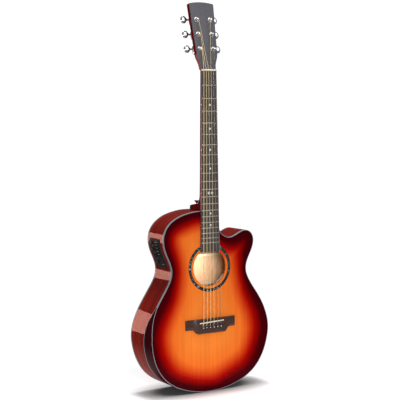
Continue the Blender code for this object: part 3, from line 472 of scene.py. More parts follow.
def wound_finish():
    """Bronze wire wound tightly around a string, drawn as light and dark bands: a painted highlight on
    each turn and painted shade between the turns, with a bump of the same bands.
    """
    finish = Finish("wound_bronze", rough=0.45)
    turns = finish.node("TexWave", {"Vector": finish.attribute("grain", "Vector"),
                                    "Scale": 620.0}, bands_direction="X")
    # painted shade and highlight: the colour darkens between the turns and lightens on them
    finish.colour(finish.mix(turns, srgb(222, 192, 130), srgb(255, 240, 190)))
    finish.bump(turns, 0.5, 0.0001)
    return finish.material


def plain_finish(name, screen, variation, scale=400.0, bump=0.0, rough=0.5, **values):
    """A moulded or cast finish with slight, fine variation in colour and gloss."""
    finish = Finish(name, **values)
    cloud = finish.noise(finish.place(), scale)
    shades = [[min(1.0, channel * share) for channel in srgb(*screen)[:3]] + [1.0]
              for share in (1 - variation, 1 + variation)]
    finish.colour(finish.mix(finish.levels(cloud, 0.3, 0.7), *shades))
    finish.set(finish.inputs["Roughness"], finish.levels(cloud, 0.3, 0.7, rough * 0.8, rough * 1.2))
    if bump:
        finish.bump(cloud, bump)
    return finish.material


def make_finishes():
    gloss = dict(rough=0.5, coat=0.20, coat_rough=0.03, specular=0.0)
    raw = dict(rough=0.75, specular=0.2)
    woods = {
        "side": ("side_gloss", (44, 6, 8), (142, 28, 17), (212, 70, 34), (4, 230, 1),
                 dict(gloss, attribute="grain")),
        "back": ("back_gloss", (78, 14, 10), (132, 34, 20), (165, 60, 32), (260, 1, 6),
                 dict(gloss, edge=(52, 6, 7))),
        "bevel": ("bevel_gloss", (40, 0, 4), (58, 2, 7), (78, 6, 10), (9, 300, 1),
                  dict(gloss, attribute="grain")),
        "neck": ("neck_gloss", (76, 0, 6), (124, 5, 12), (150, 16, 20), (240, 240, 7),
                 dict(gloss, coat=0.10, coat_rough=0.05)),
        "inner": ("inner_spruce", (226, 176, 132), (244, 200, 156), (250, 216, 178),
                  (260, 260, 8), dict(raw, specular=0.0)),
        "brace": ("brace_spruce", (236, 206, 164), (248, 226, 190), (252, 238, 212),
                  (8, 300, 300), raw),
        "lining": ("lining_wood", (150, 100, 66), (186, 134, 92), (206, 160, 116),
                   (60, 60, 60), raw),
        "slate": ("headstock_slate", (74, 73, 79), (90, 88, 95), (102, 100, 107),
                  (300, 300, 6), dict(rough=0.5, coat=0.15, coat_rough=0.25, specular=0.3)),
        "board": ("fretboard_wood", (54, 48, 47), (82, 74, 72), (108, 99, 95), (520, 520, 9),
                  dict(rough=0.5, specular=0.35)),
        "bridge": ("bridge_wood", (40, 24, 18), (68, 44, 35), (128, 88, 70), (9, 400, 400),
                   dict(rough=0.32, specular=0.5)),
    }
    plains = {
        "binding": ("binding_plastic", (140, 143, 148), 0.05, 400, 0,
                    dict(rough=0.4, coat=0.12, specular=0.1)),
        "purfling": ("purfling_black", (16, 15, 20), 0.2, 400, 0, dict(rough=0.3, coat=0.4)),
        "pearl": ("inlay_pearl", (226, 228, 226), 0.10, 900, 0, dict(rough=0.2, coat=0.5)),
        "bone": ("polished_bone", (238, 232, 214), 0.06, 500, 0, dict(rough=0.35)),
        "nickel": ("fret_nickel", (208, 206, 200), 0.05, 600, 0, dict(rough=0.28, metal=1.0)),
        "chrome": ("tuner_chrome", (205, 205, 210), 0.03, 200, 0, dict(rough=0.20, metal=1.0)),
        "plain": ("plain_steel", (172, 166, 154), 0.04, 300, 0, dict(rough=0.40, metal=1.0)),
        "panel": ("preamp_shell", (38, 44, 43), 0.12, 1500, 0.10,
                  dict(rough=0.6, specular=0.05)),
        "glass": ("display_glass", (10, 16, 18), 0.10, 100, 0,
                  dict(rough=0.12, coat=0.08, specular=0.05)),
        "knob": ("knob_rubber", (18, 20, 21), 0.15, 1500, 0.08, dict(rough=0.45, specular=0.25)),
        "mark": ("panel_mark", (184, 192, 188), 0.04, 400, 0, dict(rough=0.6, specular=0.1)),
        "pin": ("pin_black", (18, 17, 18), 0.15, 400, 0, dict(rough=0.22, coat=0.4)),
        "steel": ("rod_steel", (150, 150, 152), 0.1, 400, 0, dict(rough=0.4, metal=1.0)),
        "dark": ("socket_dark", (14, 14, 15), 0.1, 400, 0, dict(rough=0.6)),
    }
    finishes = {"top": burst_finish(), "shell": shell_finish(), "wound": wound_finish()}
    for maker, rows in ((stained_wood, woods), (plain_finish, plains)):
        for key, (*row, values) in rows.items():
            finishes[key] = maker(*row, **values)
    return finishes


# ---- mesh helpers

def add_object(name, data):
    thing = bpy.data.objects.new(name, data)
    bpy.context.scene.collection.objects.link(thing)
    return thing


def make_piece(name, shape, finish, slot, replaces=None, body="root", angle=35, inner=None, **attributes):
    """One visible piece, riding on a body; inner(face) picks the faces of raw wood."""
    points, faces = shape
    mesh = bpy.data.meshes.new(name)
    mesh.from_pydata([tuple(point) for point in points], [], faces)
    edit = bmesh.new()
    edit.from_mesh(mesh)
    bmesh.ops.recalc_face_normals(edit, faces=edit.faces)
    mesh.materials.append(FINISHES[finish])
    if inner:
        mesh.materials.append(FINISHES["inner"])
        for face in edit.faces:
            face.material_index = 1 if inner(face) else 0
    edit.to_mesh(mesh)
    edit.free()
    for key, values in attributes.items():
        kind, field = ("FLOAT", "value") if np.ndim(values) == 1 else ("FLOAT_VECTOR", "vector")
        layer = mesh.attributes.new(key, kind, "POINT")
        layer.data.foreach_set(field, np.asarray(values, dtype=np.float32).ravel())
    mesh.shade_smooth()
    mesh.set_sharp_from_angle(angle=math.radians(angle))
    piece = add_object(name, mesh)
    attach(piece, body)
    if replaces:
        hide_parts(replaces)


def loft(rings, closed=False):
    """Points and faces of a skin over rings of equal length; open ends are capped."""
    size = len(rings[0])
    points = [point for ring in rings for point in ring]
    faces = []
    for i in range(len(rings) if closed else len(rings) - 1):
        near = i * size
        far = (i + 1) % len(rings) * size
        for j in range(size):
            k = (j + 1) % size
            faces.append((near + j, near + k, far + k, far + j))
    if not closed:
        faces += [tuple(range(size)), tuple(range(len(points) - size, len(points)))]
    return points, faces


def lofted(name, rings, finish, slot, replaces=None, closed=False, **options):
    make_piece(name, loft(rings, closed), finish, slot, replaces, **options)


def ring_angles(count):
    return [2 * math.pi * k / count for k in range(count)]


def turned_rings(profile, origin, axis, steps):
    """Rings around an axis; the profile is (radius, distance along the axis)."""
    turn = axis.to_track_quat("Z", "Y").to_matrix()
    return [[origin + axis * along * MM + turn @ Vector((math.cos(a), math.sin(a), 0)) * radius * MM
             for a in ring_angles(steps)] for radius, along in profile]


def turned(profile, origin, axis, steps, closed=False):
    """Points and faces of a turned shape."""
    return loft(turned_rings(profile, origin, axis, steps), closed)


def merged(shapes):
    """Several shapes as one set of points and faces."""
    points, faces = [], []
    for more_points, more_faces in shapes:
        faces += [tuple(index + len(points) for index in face) for face in more_faces]
        points += more_points
    return points, faces


def tube_rings(route, radius, steps=10):
    """Rings around a route of world points, carried along without twist."""
    rings = []
    across = Vector((1, 0, 0))
    for i, point in enumerate(route):
        ahead = route[min(i + 1, len(route) - 1)] - point
        behind = point - route[max(i - 1, 0)]
        along = (ahead.normalized() + behind.normalized()).normalized()
        across = (across - along * across.dot(along)).normalized()
        up = along.cross(across)
        rings.append([point + (across * math.cos(a) + up * math.sin(a)) * radius * MM
                      for a in ring_angles(steps)])
    return rings


def flat_mesh(rims, spacing):
    """A fine triangle mesh over an (x, z) outline, the first rim, with the others as holes."""
    def covered(points):
        keep = inside_polygon(points, rims[0])
        for rim in rims[1:]:
            keep &= ~inside_polygon(points, rim)
        return keep

    low, high = rims[0].min(axis=0), rims[0].max(axis=0)
    rows = np.arange(low[1], high[1], spacing * 0.866)
    grid = np.array([(x + (spacing / 2 if row % 2 else 0), z) for row, z in enumerate(rows)
                     for x in np.arange(low[0], high[0], spacing)])
    grid = grid[covered(grid)]
    edges, start = [], 0
    for rim in rims:
        grid = grid[edge_distance(grid, rim) > spacing * 0.45]
        edges += [(start + i, start + (i + 1) % len(rim)) for i in range(len(rim))]
        start += len(rim)
    points = [Vector(point) for point in np.vstack([*rims, grid])]
    result = delaunay_2d_cdt(points, edges, [], 0, 1e-6)
    flat, faces = np.array([tuple(point) for point in result[0]]), result[2]
    middles = np.array([flat[list(face)].mean(axis=0) for face in faces])
    return flat, [face for face, kept in zip(faces, covered(middles)) if kept]


def plate_mesh(rims, spacing, front, back):
    """A flat mesh, and a solid plate from it; front and back give the depth at each z."""
    flat, faces = flat_mesh(rims, spacing)
    count = len(flat)
    points = [world(x, depth(z), z) for depth in (front, back) for x, z in flat]
    uses = {}
    for face in faces:
        for a, b in zip(face, face[1:] + face[:1]):
            uses.setdefault(frozenset((a, b)), []).append((a, b))
    walls = [(a, b, b + count, a + count) for pairs in uses.values() if len(pairs) == 1 for a, b in pairs]
    behind = [tuple(i + count for i in reversed(face)) for face in faces]
    return flat, (points, [*faces, *behind, *walls])


def burst_values(flat):
    """How far into the sunburst each (x, z) lies: 0 at the edge, 1 where the orange begins."""
    anchors = np.array(BURST_REACH, dtype=float)
    distance = np.linalg.norm(flat[:, None, :] - anchors[None, :, :2], axis=2) + 12.0
    weight = distance ** -3.0
    reach = (weight * anchors[:, 2]).sum(axis=1) / weight.sum(axis=1)
    return edge_distance(flat, OUTLINE) / reach


# ---- body

def make_soundboard():
    outline = OUTLINE + INWARD * (BEVEL_WIDTH + BINDING_WIDTH + 0.02)[:, None]
    hole = np.array([(HOLE_RADIUS * math.cos(a), HOLE_Z + HOLE_RADIUS * math.sin(a))
                     for a in ring_angles(120)])
    flat, plate = plate_mesh([outline, hole], BOARD_GRID, lambda z: 0, lambda z: TOP_THICKNESS)
    make_piece("spruce_top", plate, "top", "top_wood", "soundboard",
               inner=lambda face: face.normal.y > 0.5, burst=np.tile(burst_values(flat), 2))


def make_rosette():
    """A shell ring between two thin dark lines, set flush in the soundboard."""
    centre = world(0, 0, HOLE_Z)
    for name, inner, outer, finish, proud in (
            ("rosette_shell_ring", ROSETTE_INNER, ROSETTE_OUTER, "shell", 0.10),
            ("rosette_inner_line", ROSETTE_INNER - ROSETTE_LINE, ROSETTE_INNER, "purfling", 0.08),
            ("rosette_outer_line", ROSETTE_OUTER, ROSETTE_OUTER + ROSETTE_LINE, "purfling", 0.08)):
        profile = [(inner, -proud), (outer, -proud), (outer, 1.2), (inner, 1.2)]
        rings = turned_rings(profile, centre, Vector((0, 1, 0)), 180)
        lofted(name, rings, finish, "rosette_shell", "rosette" if finish == "shell" else None,
               closed=True, grain=[tuple(point - centre) for ring in rings for point in ring])


def section_ring(i, corners, from_back=False):
    """A section of the body at outline point i; its corners are (inset, depth)."""
    ring = []
    for distance, depth in corners:
        x, z = inset(i, distance)
        ring.append(world(x, back_depth(z) - depth if from_back else depth, z))
    return ring


def hoop(name, corners_at, finish, replaces=None, from_back=False):
    """A closed hoop around the body; corners_at(i) gives its section's corners."""
    rings = [section_ring(i, corners_at(i), from_back) for i in range(len(OUTLINE))]
    lofted(name, rings, finish, "binding", replaces, closed=True, angle=40)


def make_bindings():
    light = BINDING_WIDTH - PURFLING_WIDTH
    soft = EDGE_ROUNDING

    def top_light(i):
        near = BEVEL_WIDTH[i]
        far = near + light
        edge, low = (0.1, THIN_BINDING_DEPTH) if IN_BEVEL[i] else (soft, BINDING_DEPTH)
        return [(near, edge), (near + edge * 0.3, edge * 0.3), (near + edge, 0), (far, 0),
                (far, low), (near, low)]

    def top_dark(i):
        near = BEVEL_WIDTH[i] + light
        far = near + PURFLING_WIDTH
        return [(near, 0), (far, 0), (far, THIN_BINDING_DEPTH), (near, THIN_BINDING_DEPTH)]

    back_light = [(0, BINDING_DEPTH), (light, BINDING_DEPTH), (light, 0), (soft, 0),
                  (soft * 0.3, soft * 0.3), (0, soft)]
    far = BINDING_WIDTH + GAP
    back_dark = [(light, BINDING_DEPTH), (far, BINDING_DEPTH), (far, 0), (light, 0)]
    hoop("top_edge_binding", top_light, "binding", "top_binding")
    hoop("top_edge_purfling", top_dark, "purfling")
    hoop("back_edge_binding", lambda i: back_light, "binding", "back_binding", from_back=True)
    hoop("back_edge_purfling", lambda i: back_dark, "purfling", from_back=True)


def make_sides():
    """The bent sides, with the preamp's opening, stained outside and raw inside."""
    near, far = PREAMP_DEPTHS[0] + PREAMP_LEDGE, PREAMP_DEPTHS[1] - PREAMP_LEDGE
    count, rows = len(OUTLINE), 5
    points, grain = [], []
    for distance in (0, SIDE_THICKNESS):
        for i in range(count):
            x, z = inset(i, distance)
            low = max(near, BEVEL_DEPTH[i] + 1)
            for depth in (BEVEL_DEPTH[i], low, (low + far) / 2, far, back_depth(z) - BINDING_DEPTH):
                points.append(world(x, depth, z))
                grain.append((ALONG[i] * MM, (depth - back_depth(z)) * MM, 0.0))
    opened = ((OUTLINE[:, 0] < -100) & (OUTLINE[:, 1] > PREAMP_LOW_Z + PREAMP_LEDGE)
              & (OUTLINE[:, 1] < PREAMP_HIGH_Z - PREAMP_LEDGE))
    kept = {(i, j) for i in range(count) for j in range(rows - 1) if not (opened[i] and j in (1, 2))}
    outer, inner = np.arange(2 * count * rows).reshape(2, count, rows).tolist()
    faces = []
    for i, j in kept:
        k = (i + 1) % count
        faces.append((outer[i][j], outer[k][j], outer[k][j + 1], outer[i][j + 1]))
        faces.append((inner[i][j], inner[i][j + 1], inner[k][j + 1], inner[k][j]))
        for beside, a, b, c, d in (((i, j - 1), i, j, k, j), ((i, j + 1), i, j + 1, k, j + 1),
                                   (((i - 1) % count, j), i, j, i, j + 1),
                                   ((k, j), k, j, k, j + 1)):
            if beside not in kept:
                faces.append((outer[a][b], outer[c][d], inner[c][d], inner[a][b]))
    make_piece("bent_sides", (points, faces), "side", "side_wood", "side_rim",
               inner=lambda face: all(vert.index >= count * rows for vert in face.verts),
               grain=grain)


def bevel_point(i, t, lift=0.0):
    """Inset and depth on the bevel: t is 0 at the top edge and 1 at the side."""
    width, depth = BEVEL_WIDTH[i], BEVEL_DEPTH[i]
    length = math.hypot(width, depth)
    bulge = (0.035 * length * 4 * t * (1 - t) + lift) / length
    return width * (1 - t) - depth * bulge, depth * t - width * bulge


def make_armrest():
    """The bevelled corner under the forearm, and the light strip along its lower edge."""
    steps = 12
    rings, strip, dark, grain = [], [], [], []
    for i in np.nonzero(IN_BEVEL)[0]:
        length = math.hypot(BEVEL_WIDTH[i], BEVEL_DEPTH[i])
        corners = [bevel_point(i, k / steps) for k in range(steps + 1)]
        corners += [(SIDE_THICKNESS, BEVEL_DEPTH[i]), (BEVEL_WIDTH[i] + BINDING_WIDTH, 2.6)]
        rings.append(section_ring(i, corners))
        grain += [(ALONG[i] * MM, k * 0.003, 0.0) for k in range(len(corners))]
        share = 1 - min(0.5, BEVEL_STRIP / length)
        line = 1 - min(0.7, (BEVEL_STRIP + PURFLING_WIDTH) / length)
        for store, start, end, top, low in ((strip, share, 1, 0.04, -0.6),
                                            (dark, line, share, 0.03, -0.5)):
            store.append(section_ring(i, [bevel_point(i, start, top), bevel_point(i, end, top),
                                          bevel_point(i, end, low), bevel_point(i, start, low)]))
    lofted("forearm_bevel", rings, "bevel", "armrest_wood", "armrest", grain=grain)
    lofted("bevel_edge_strip", strip, "binding", "binding")
    lofted("bevel_edge_line", dark, "purfling", "binding")


def make_back():
    flat, plate = plate_mesh([OUTLINE + INWARD * (BINDING_WIDTH + GAP)], BOARD_GRID * 1.6,
                             lambda z: back_depth(z) - BACK_THICKNESS, back_depth)
    make_piece("back_panel", plate, "back", "side_wood", "back_plate",
               inner=lambda face: face.normal.y < -0.5,
               burst=np.tile(edge_distance(flat, OUTLINE) / 40.0, 2))
    for name, half, finish, proud in (("back_seam_strip", 1.6, "binding", 0.04),
                                      ("back_seam_line", 2.5, "purfling", 0.02)):
        corners = [(-half, proud), (half, proud), (half, -1), (-half, -1)]
        lofted(name, [[world(x, back_depth(z) + depth, z) for x, depth in corners]
                      for z in np.linspace(3.0, BODY_TOP_Z - 3.0, 40)], finish, "binding")


# ---- neck, headstock, fretboard

def board_half_width(z):
    along = (NUT_Z - z) / BOARD_LENGTH
    return NUT_HALF_WIDTH + (BOARD_END_HALF_WIDTH - NUT_HALF_WIDTH) * along


def fret_z(number):
    return NUT_Z - SCALE_LENGTH * (1 - 2 ** (-number / 12))


def board_end_z(x):
    return HOLE_Z + math.sqrt(HOLE_RADIUS ** 2 - x ** 2)


def board_top(x):
    """Depth of the cambered fretboard's face."""
    return -GAP - BOARD_THICKNESS + x * x / (2 * BOARD_CAMBER_RADIUS)


def neck_ring(place, half, depth, roundness, taper=0.0):
    """Points along the flat front and around the back; place maps (x, depth) to the world."""
    ring = [place(half * step / 6, 0) for step in range(-6, 7)]
    count = 36
    for k in range(1, count):
        angle = math.pi * k / count
        y = depth * math.sin(angle) ** roundness
        side = math.copysign(abs(math.cos(angle)) ** roundness, math.cos(angle))
        ring.append(place(half * side * (1 - taper * y / depth), y))
    return ring


def head_shoulder():
    """The headstock's widening edge as (distance above the nut, half-width)."""
    return [tuple(pair) for pair in smooth_curve(HEAD_SHOULDER, per_span=5)]


def make_neck():
    rings = [neck_ring(lambda x, y: world(x, y, z), board_half_width(z), depth, roundness,
                       max(0.0, taper))
             for z, depth, roundness, taper in smooth_curve(NECK_SECTIONS, per_span=7)]
    crown, top_half = HEAD_TOP_CROWN, HEAD_TOP_HALF_WIDTH
    sections = [(v, half, 0.0) for v, half in head_shoulder()]
    sections += [(HEAD_LENGTH - 2 * crown, top_half - 0.2, crown),
                 (HEAD_LENGTH - 0.6, top_half, crown), (HEAD_LENGTH, top_half - 0.6, crown)]
    for v, half, drop in sections:
        rings.append(neck_ring(
            lambda x, y: head(x, v - drop * (x / half) ** 2, -FACEPLATE_THICKNESS - y), half,
            HEAD_THICKNESS - FACEPLATE_THICKNESS, 0.2))
    lofted("carved_neck", rings, "neck", "neck_wood", "neck", angle=40)


def make_faceplate():
    """The grey veneer on the headstock, with eased edges."""
    length, crown, top_half = HEAD_LENGTH, HEAD_TOP_CROWN, HEAD_TOP_HALF_WIDTH
    sides = head_shoulder() + [(length - crown - 2.0, top_half - 0.05),
                               (length - crown - 0.6, top_half - 0.5)]
    top = [(length - crown * t * t, top_half * t) for t in np.linspace(0.96, -0.96, 25)]
    outline = sides + top + [(v, -half) for v, half in reversed(sides)]

    def eased(value, amount):
        return value - math.copysign(min(amount, abs(value)), value)

    rings = [[head(eased(x, shrink), length / 2 + eased(v - length / 2, shrink), h)
              for v, x in outline]
             for h, shrink in ((-FACEPLATE_THICKNESS, 0.0), (-0.6, 0.0), (-0.15, 0.2), (0.0, 0.7))]
    lofted("headstock_face", rings, "slate", "headstock_veneer", "headstock_faceplate", angle=50)


def make_fretboard():
    def ring(z, curved=False):
        half = board_half_width(z)
        ease = 0.35
        points = [(-half, board_top(half) + ease)]
        points += [(x * (1 - ease / half), board_top(x)) for x in np.linspace(-half, half, 17)]
        points += [(half, board_top(half) + ease), (half, -GAP), (-half, -GAP)]
        return [world(x, depth, board_end_z(x) if curved else z) for x, depth in points]

    rings = [ring(z) for z in np.linspace(NUT_Z, board_end_z(0) + 14, 60)]
    rings.append(ring(board_end_z(0), curved=True))
    lofted("fretboard_blank", rings, "board", "fretboard_wood", "fretboard")
    arc = [(math.cos(a), math.sin(a)) for a in np.linspace(0, math.pi, 9)]
    wires = []
    for number in range(1, FRET_COUNT + 1):
        z = fret_z(number)
        half = board_half_width(z) - 0.1
        crowns = [(-half, 0.15), (-half + 0.5, 0.8)]
        crowns += [(x, 1.0) for x in np.linspace(-half + 1.1, half - 1.1, 13)]
        crowns += [(half - 0.5, 0.8), (half, 0.15)]
        wires.append(loft([[world(x, board_top(x) - FRET_HEIGHT * scale * up,
                                  z + FRET_HALF_WIDTH * across)
                            for across, up in arc] for x, scale in crowns]))
    make_piece("fret_wires", merged(wires), "nickel", "fretboard_wood")


def make_inlays():
    """Dots, and a plain pair of diamonds at the twelfth fret."""
    def between_frets(number):
        return (fret_z(number) + fret_z(number - 1)) / 2

    def inlay(x, z, outline):
        return loft([[world(x + dx, board_top(x + dx) + depth, z + dz) for dx, dz in outline]
                     for depth in (0.5, -0.03)])

    dot = [(INLAY_RADIUS * math.cos(a), INLAY_RADIUS * math.sin(a)) for a in ring_angles(32)]
    diamond = [(DIAMOND_HALF_WIDTH, 0), (0, DIAMOND_HALF_HEIGHT), (-DIAMOND_HALF_WIDTH, 0),
               (0, -DIAMOND_HALF_HEIGHT)]
    shapes = [inlay(0, between_frets(number), dot) for number in INLAY_FRETS]
    shapes += [inlay(x, between_frets(12), diamond) for x in (-DIAMOND_X, DIAMOND_X)]
    make_piece("fretboard_inlays", merged(shapes), "pearl", "fretboard_wood")
    side_dots = []
    for number in INLAY_FRETS + [12]:
        z = between_frets(number)
        side_dots.append(turned([(1.0, -0.4), (1.0, 0.0)],
                                world(-board_half_width(z) - 0.02, -3.4, z),
                                Vector((-1, 0, 0)), 16))
    make_piece("side_dots", merged(side_dots), "pearl", "fretboard_wood")


def make_nut():
    """The bone nut, rounded on top."""
    thick, top = NUT_THICKNESS, NUT_TOP
    profile = [(GAP, -GAP), (GAP, top + 0.9), (GAP + 0.5, top + 0.2), (GAP + 1.6, top),
               (thick - 1.6, top + 0.3), (thick - 0.5, top + 1.1), (thick, top + 2.0),
               (thick, -GAP)]
    rings = []
    for x in np.linspace(-NUT_HALF_WIDTH, NUT_HALF_WIDTH, 25):
        ease = 0.5 if abs(x) > NUT_HALF_WIDTH - 0.1 else 0.0
        rings.append([world(x, depth + (ease if depth < -GAP else 0), NUT_Z + along)
                      for along, depth in profile])
    lofted("bone_nut", rings, "bone", "bone", "nut")


# ---- tuning machines

def rounded_rectangle(half_x, half_y, radius, steps=6):
    """Corner points of a rectangle with round corners, counter-clockwise."""
    points = []
    for sign_x, sign_y, start in ((1, 1, 0), (-1, 1, 90), (-1, -1, 180), (1, -1, 270)):
        for k in range(steps + 1):
            angle = math.radians(start + 90 * k / steps)
            points.append((sign_x * (half_x - radius) + radius * math.cos(angle),
                           sign_y * (half_y - radius) + radius * math.sin(angle)))
    return points


def make_housing(name, side, v):
    """The gear case behind the headstock, its worm boss, and the front bush with its washer."""
    back = -HEAD_THICKNESS
    width, height, thick = HOUSING_SIZE
    end = back - thick
    middle = v + BUTTON_RISE / 2
    x = side * POST_X
    levels = [(back - 0.1, 0.0), (end + 3.0, 0.0), (end + 1.2, 0.6), (end + 0.3, 1.8), (end, 3.2)]
    case = loft([[head(x + dx, middle + dv, h) for dx, dv in
                  rounded_rectangle(width / 2 - shrink, height / 2 - shrink, 4.2 - shrink * 0.5)]
                 for h, shrink in levels])
    inner, outer = POST_RADIUS + 0.1, WASHER_RADIUS
    washer = [(inner, 0), (outer, 0), (outer, 0.7), (outer - 0.4, 1.0), (5.0, 1.1), (4.7, 1.6),
              (4.2, WASHER_THICKNESS), (inner, WASHER_THICKNESS)]
    shapes = [
        case,
        turned([(3.6, 0), (3.6, 1.8), (3.2, 2.3), (2.3, 2.3)],
               head(side * (POST_X + width / 2 - 1), v + BUTTON_RISE, -SHAFT_BEHIND_FACE),
               Vector((side, 0, 0)), 32),
        turned([(3.4, -0.1), (3.4, 0.5), (3.0, 0.8), (1.2, 0.8), (1.0, 0.3)], head(x, v, end),
               -HEAD_NORMAL, 32),
        turned([(1.5, -0.6), (1.5, 0.5), (1.1, 0.9), (0.3, 1.0)],
               head(x, middle - height / 2 + 3.4, end + 0.6), -HEAD_NORMAL, 20),
        turned(washer, head(x, v, 0), HEAD_NORMAL, 48, closed=True)]
    make_piece("gear_case_" + name, merged(shapes), "chrome", "chrome", "tuner_housing_" + name, angle=30)


def make_post(name, side, v):
    radius, top = POST_RADIUS, POST_ABOVE_FACE
    profile = [(radius, 0.2), (radius, 3.4), (2.75, 3.9), (2.5, 4.6), (2.5, 5.8), (2.75, 6.6),
               (radius, 7.2), (radius, top - 0.8), (radius - 0.3, top - 0.3),
               (radius - 0.9, top), (1.0, top), (0.9, top - 0.6), (0.2, top - 0.6)]
    make_piece("string_post_" + name, turned(profile, head(side * POST_X, v, 0), HEAD_NORMAL, 32),
               "chrome", "chrome", "tuner_post_" + name, "post_" + name)


def make_button(name, side, v):
    """The key: a worm shaft and a flattened oval grip with soft edges."""
    shaft = SHAFT_RADIUS
    sections = [(POST_X + HOUSING_SIZE[0] / 2 + 0.8, shaft, shaft), (36.6, shaft, shaft),
                *smooth_curve(KEY_SECTIONS, per_span=4)]
    rings = []
    for out, tall, thick in sections:
        power = 1.0 if tall <= shaft + 0.1 else 0.8
        ring = []
        for a in ring_angles(32):
            up = math.copysign(abs(math.sin(a)) ** power, math.sin(a))
            over = math.copysign(abs(math.cos(a)) ** power, math.cos(a))
            ring.append(head(side * out, v + BUTTON_RISE + tall * up, -SHAFT_BEHIND_FACE + thick * over))
        rings.append(ring)
    lofted("tuner_key_" + name, rings, "chrome", "chrome", "tuner_button_" + name,
           body="button_" + name, angle=50)


def make_tuners():
    """Each tuner by its string's name, on side -1 (bass) or 1 (treble), at v up the headstock."""
    for side, names in ((-1, STRING_NAMES[:3]), (1, STRING_NAMES[:2:-1])):
        for name, v in zip(names, POST_VS):
            make_housing(name, side, v)
            make_post(name, side, v)
            make_button(name, side, v)


# ---- bridge, saddle, pins, strings

def saddle_z(x):
    middle = (SADDLE_BASS_Z + SADDLE_TREBLE_Z) / 2
    return middle + (SADDLE_TREBLE_Z - SADDLE_BASS_Z) * x / (2 * SADDLE_HALF_LENGTH)


def saddle_top(x):
    return SADDLE_TOP - x * x / 2400.0 - 0.006 * x


def string_x(number, spacing):
    return (number - 2.5) * spacing


def make_bridge():
    """Dark wood, with a raised middle and wings that sweep down in a scoop."""
    end, low, wing = BRIDGE_HALF_LENGTH, BRIDGE_WING_LOW_Z, WING_HEIGHT
    belly, block = BRIDGE_BELLY_Z, BLOCK_HEIGHT
    # distance from the middle, lowest z, height
    keys = [(end, low + 1.5, wing - 1.6), (end - 0.6, low + 0.4, wing - 0.6),
            (end - 2.4, low, wing), (68, low, wing), (60, low, wing + 0.2), (54, low - 1.0, 5.2),
            (50, low - 4.0, 6.8), (46, belly + 3.2, 8.8), (42, belly + 0.6, block),
            (34, belly, block), (12, belly, block)]
    half = [tuple(key) for key in smooth_curve(keys, per_span=4)]
    corner = np.linspace(0.3, math.pi / 2, 4)
    rings = []
    top = BRIDGE_TOP_Z
    for x, base, high in [(-x, base, high) for x, base, high in half] + half[::-1]:
        edge = min(1.4, high * 0.4)
        rounding = [(edge * (1 - math.cos(a)), high - edge * (1 - math.sin(a))) for a in corner]
        profile = [(base, 0.05), (base, high - edge)]
        profile += [(base + across, height) for across, height in rounding]
        profile += [(top - across, height) for across, height in rounding[::-1]]
        profile += [(top, high - edge), (top, 0.05)]
        rings.append([world(x, -height, z) for z, height in profile])
    lofted("carved_bridge", rings, "bridge", "bridge_wood", "bridge", angle=45)


def make_saddle():
    half, floor = SADDLE_THICKNESS / 2, SADDLE_SLOT_FLOOR
    rings = []
    for x in np.linspace(-SADDLE_HALF_LENGTH, SADDLE_HALF_LENGTH, 31):
        drop = 1.2 * max(0.0, abs(x) / SADDLE_HALF_LENGTH - 0.95) / 0.05
        z, top = saddle_z(x), saddle_top(x) - drop
        profile = [(-half, floor), (-half, top - 1.4), (-half * 0.8, top - 0.5),
                   (-half * 0.3, top), (half * 0.3, top), (half * 0.8, top - 0.5),
                   (half, top - 1.4), (half, floor)]
        rings.append([world(x, -height, z + across) for across, height in profile])
    lofted("bone_saddle", rings, "bone", "bone", "saddle", angle=50)


def make_pins():
    pin = [(2.2, 3.0 - BLOCK_HEIGHT), (2.5, -0.2), (3.3, 0.05), (3.6, 0.4), (3.6, 1.0), (3.3, 1.6),
           (2.7, 2.2), (1.8, 2.6), (0.8, 2.8)]
    dot = [(1.3, 2.2), (1.3, 2.75), (0.9, 2.86), (0.3, 2.9)]
    front = Vector((0, -1, 0))
    dots = []
    for number, name in enumerate(STRING_NAMES):
        origin = world(string_x(number, PIN_SPACING), -BLOCK_HEIGHT, PIN_Z)
        make_piece("end_pin_" + name, turned(pin, origin, front, 32), "pin", "pin_plastic",
                   "bridge_pin_" + name, angle=40)
        dots.append(turned(dot, origin, front, 20))
    make_piece("pin_dots", merged(dots), "pearl", "pin_plastic")


def string_route(number):
    """From the bridge pin over the saddle and the nut, then in close turns down the post."""
    radius = STRING_RADII[number]
    side = -1 if number < 3 else 1
    v = POST_VS[number if number < 3 else 5 - number]
    pin_x, x, nut_x = (string_x(number, spacing)
                       for spacing in (PIN_SPACING, SADDLE_SPACING, NUT_SPACING))
    lift = radius * 0.9
    over_saddle = -saddle_top(x) - lift
    over_nut = NUT_TOP - lift
    route = [world(pin_x, -BLOCK_HEIGHT + 2.0, PIN_Z + 2.9),
             world(pin_x, -BLOCK_HEIGHT - 0.4, PIN_Z + 4.2),
             world(pin_x, -BLOCK_HEIGHT - lift - 0.2, PIN_Z + 5.4),
             world(x, over_saddle + 0.1, saddle_z(x) - 1.2), world(x, over_saddle, saddle_z(x))]
    start = world(x, over_saddle, saddle_z(x) + 1.2)
    end = world(nut_x, over_nut, NUT_Z + 0.6)
    route += [start.lerp(end, k / 40) for k in range(41)]
    route += [world(nut_x, over_nut, NUT_Z + 2.4),
              world(nut_x, over_nut + 0.7, NUT_Z + NUT_THICKNESS - 0.2)]
    wrap = POST_RADIUS + radius * 0.95
    turns = 2.4
    steps = round(turns * 20)
    for k in range(steps + 1):
        turn = turns * k / steps
        angle = math.radians(-20) + 2 * math.pi * turn
        route.append(head(side * (POST_X - wrap * math.cos(angle)), v + wrap * math.sin(angle),
                          7.1 - (2 * radius + 0.05) * turn))
    return route


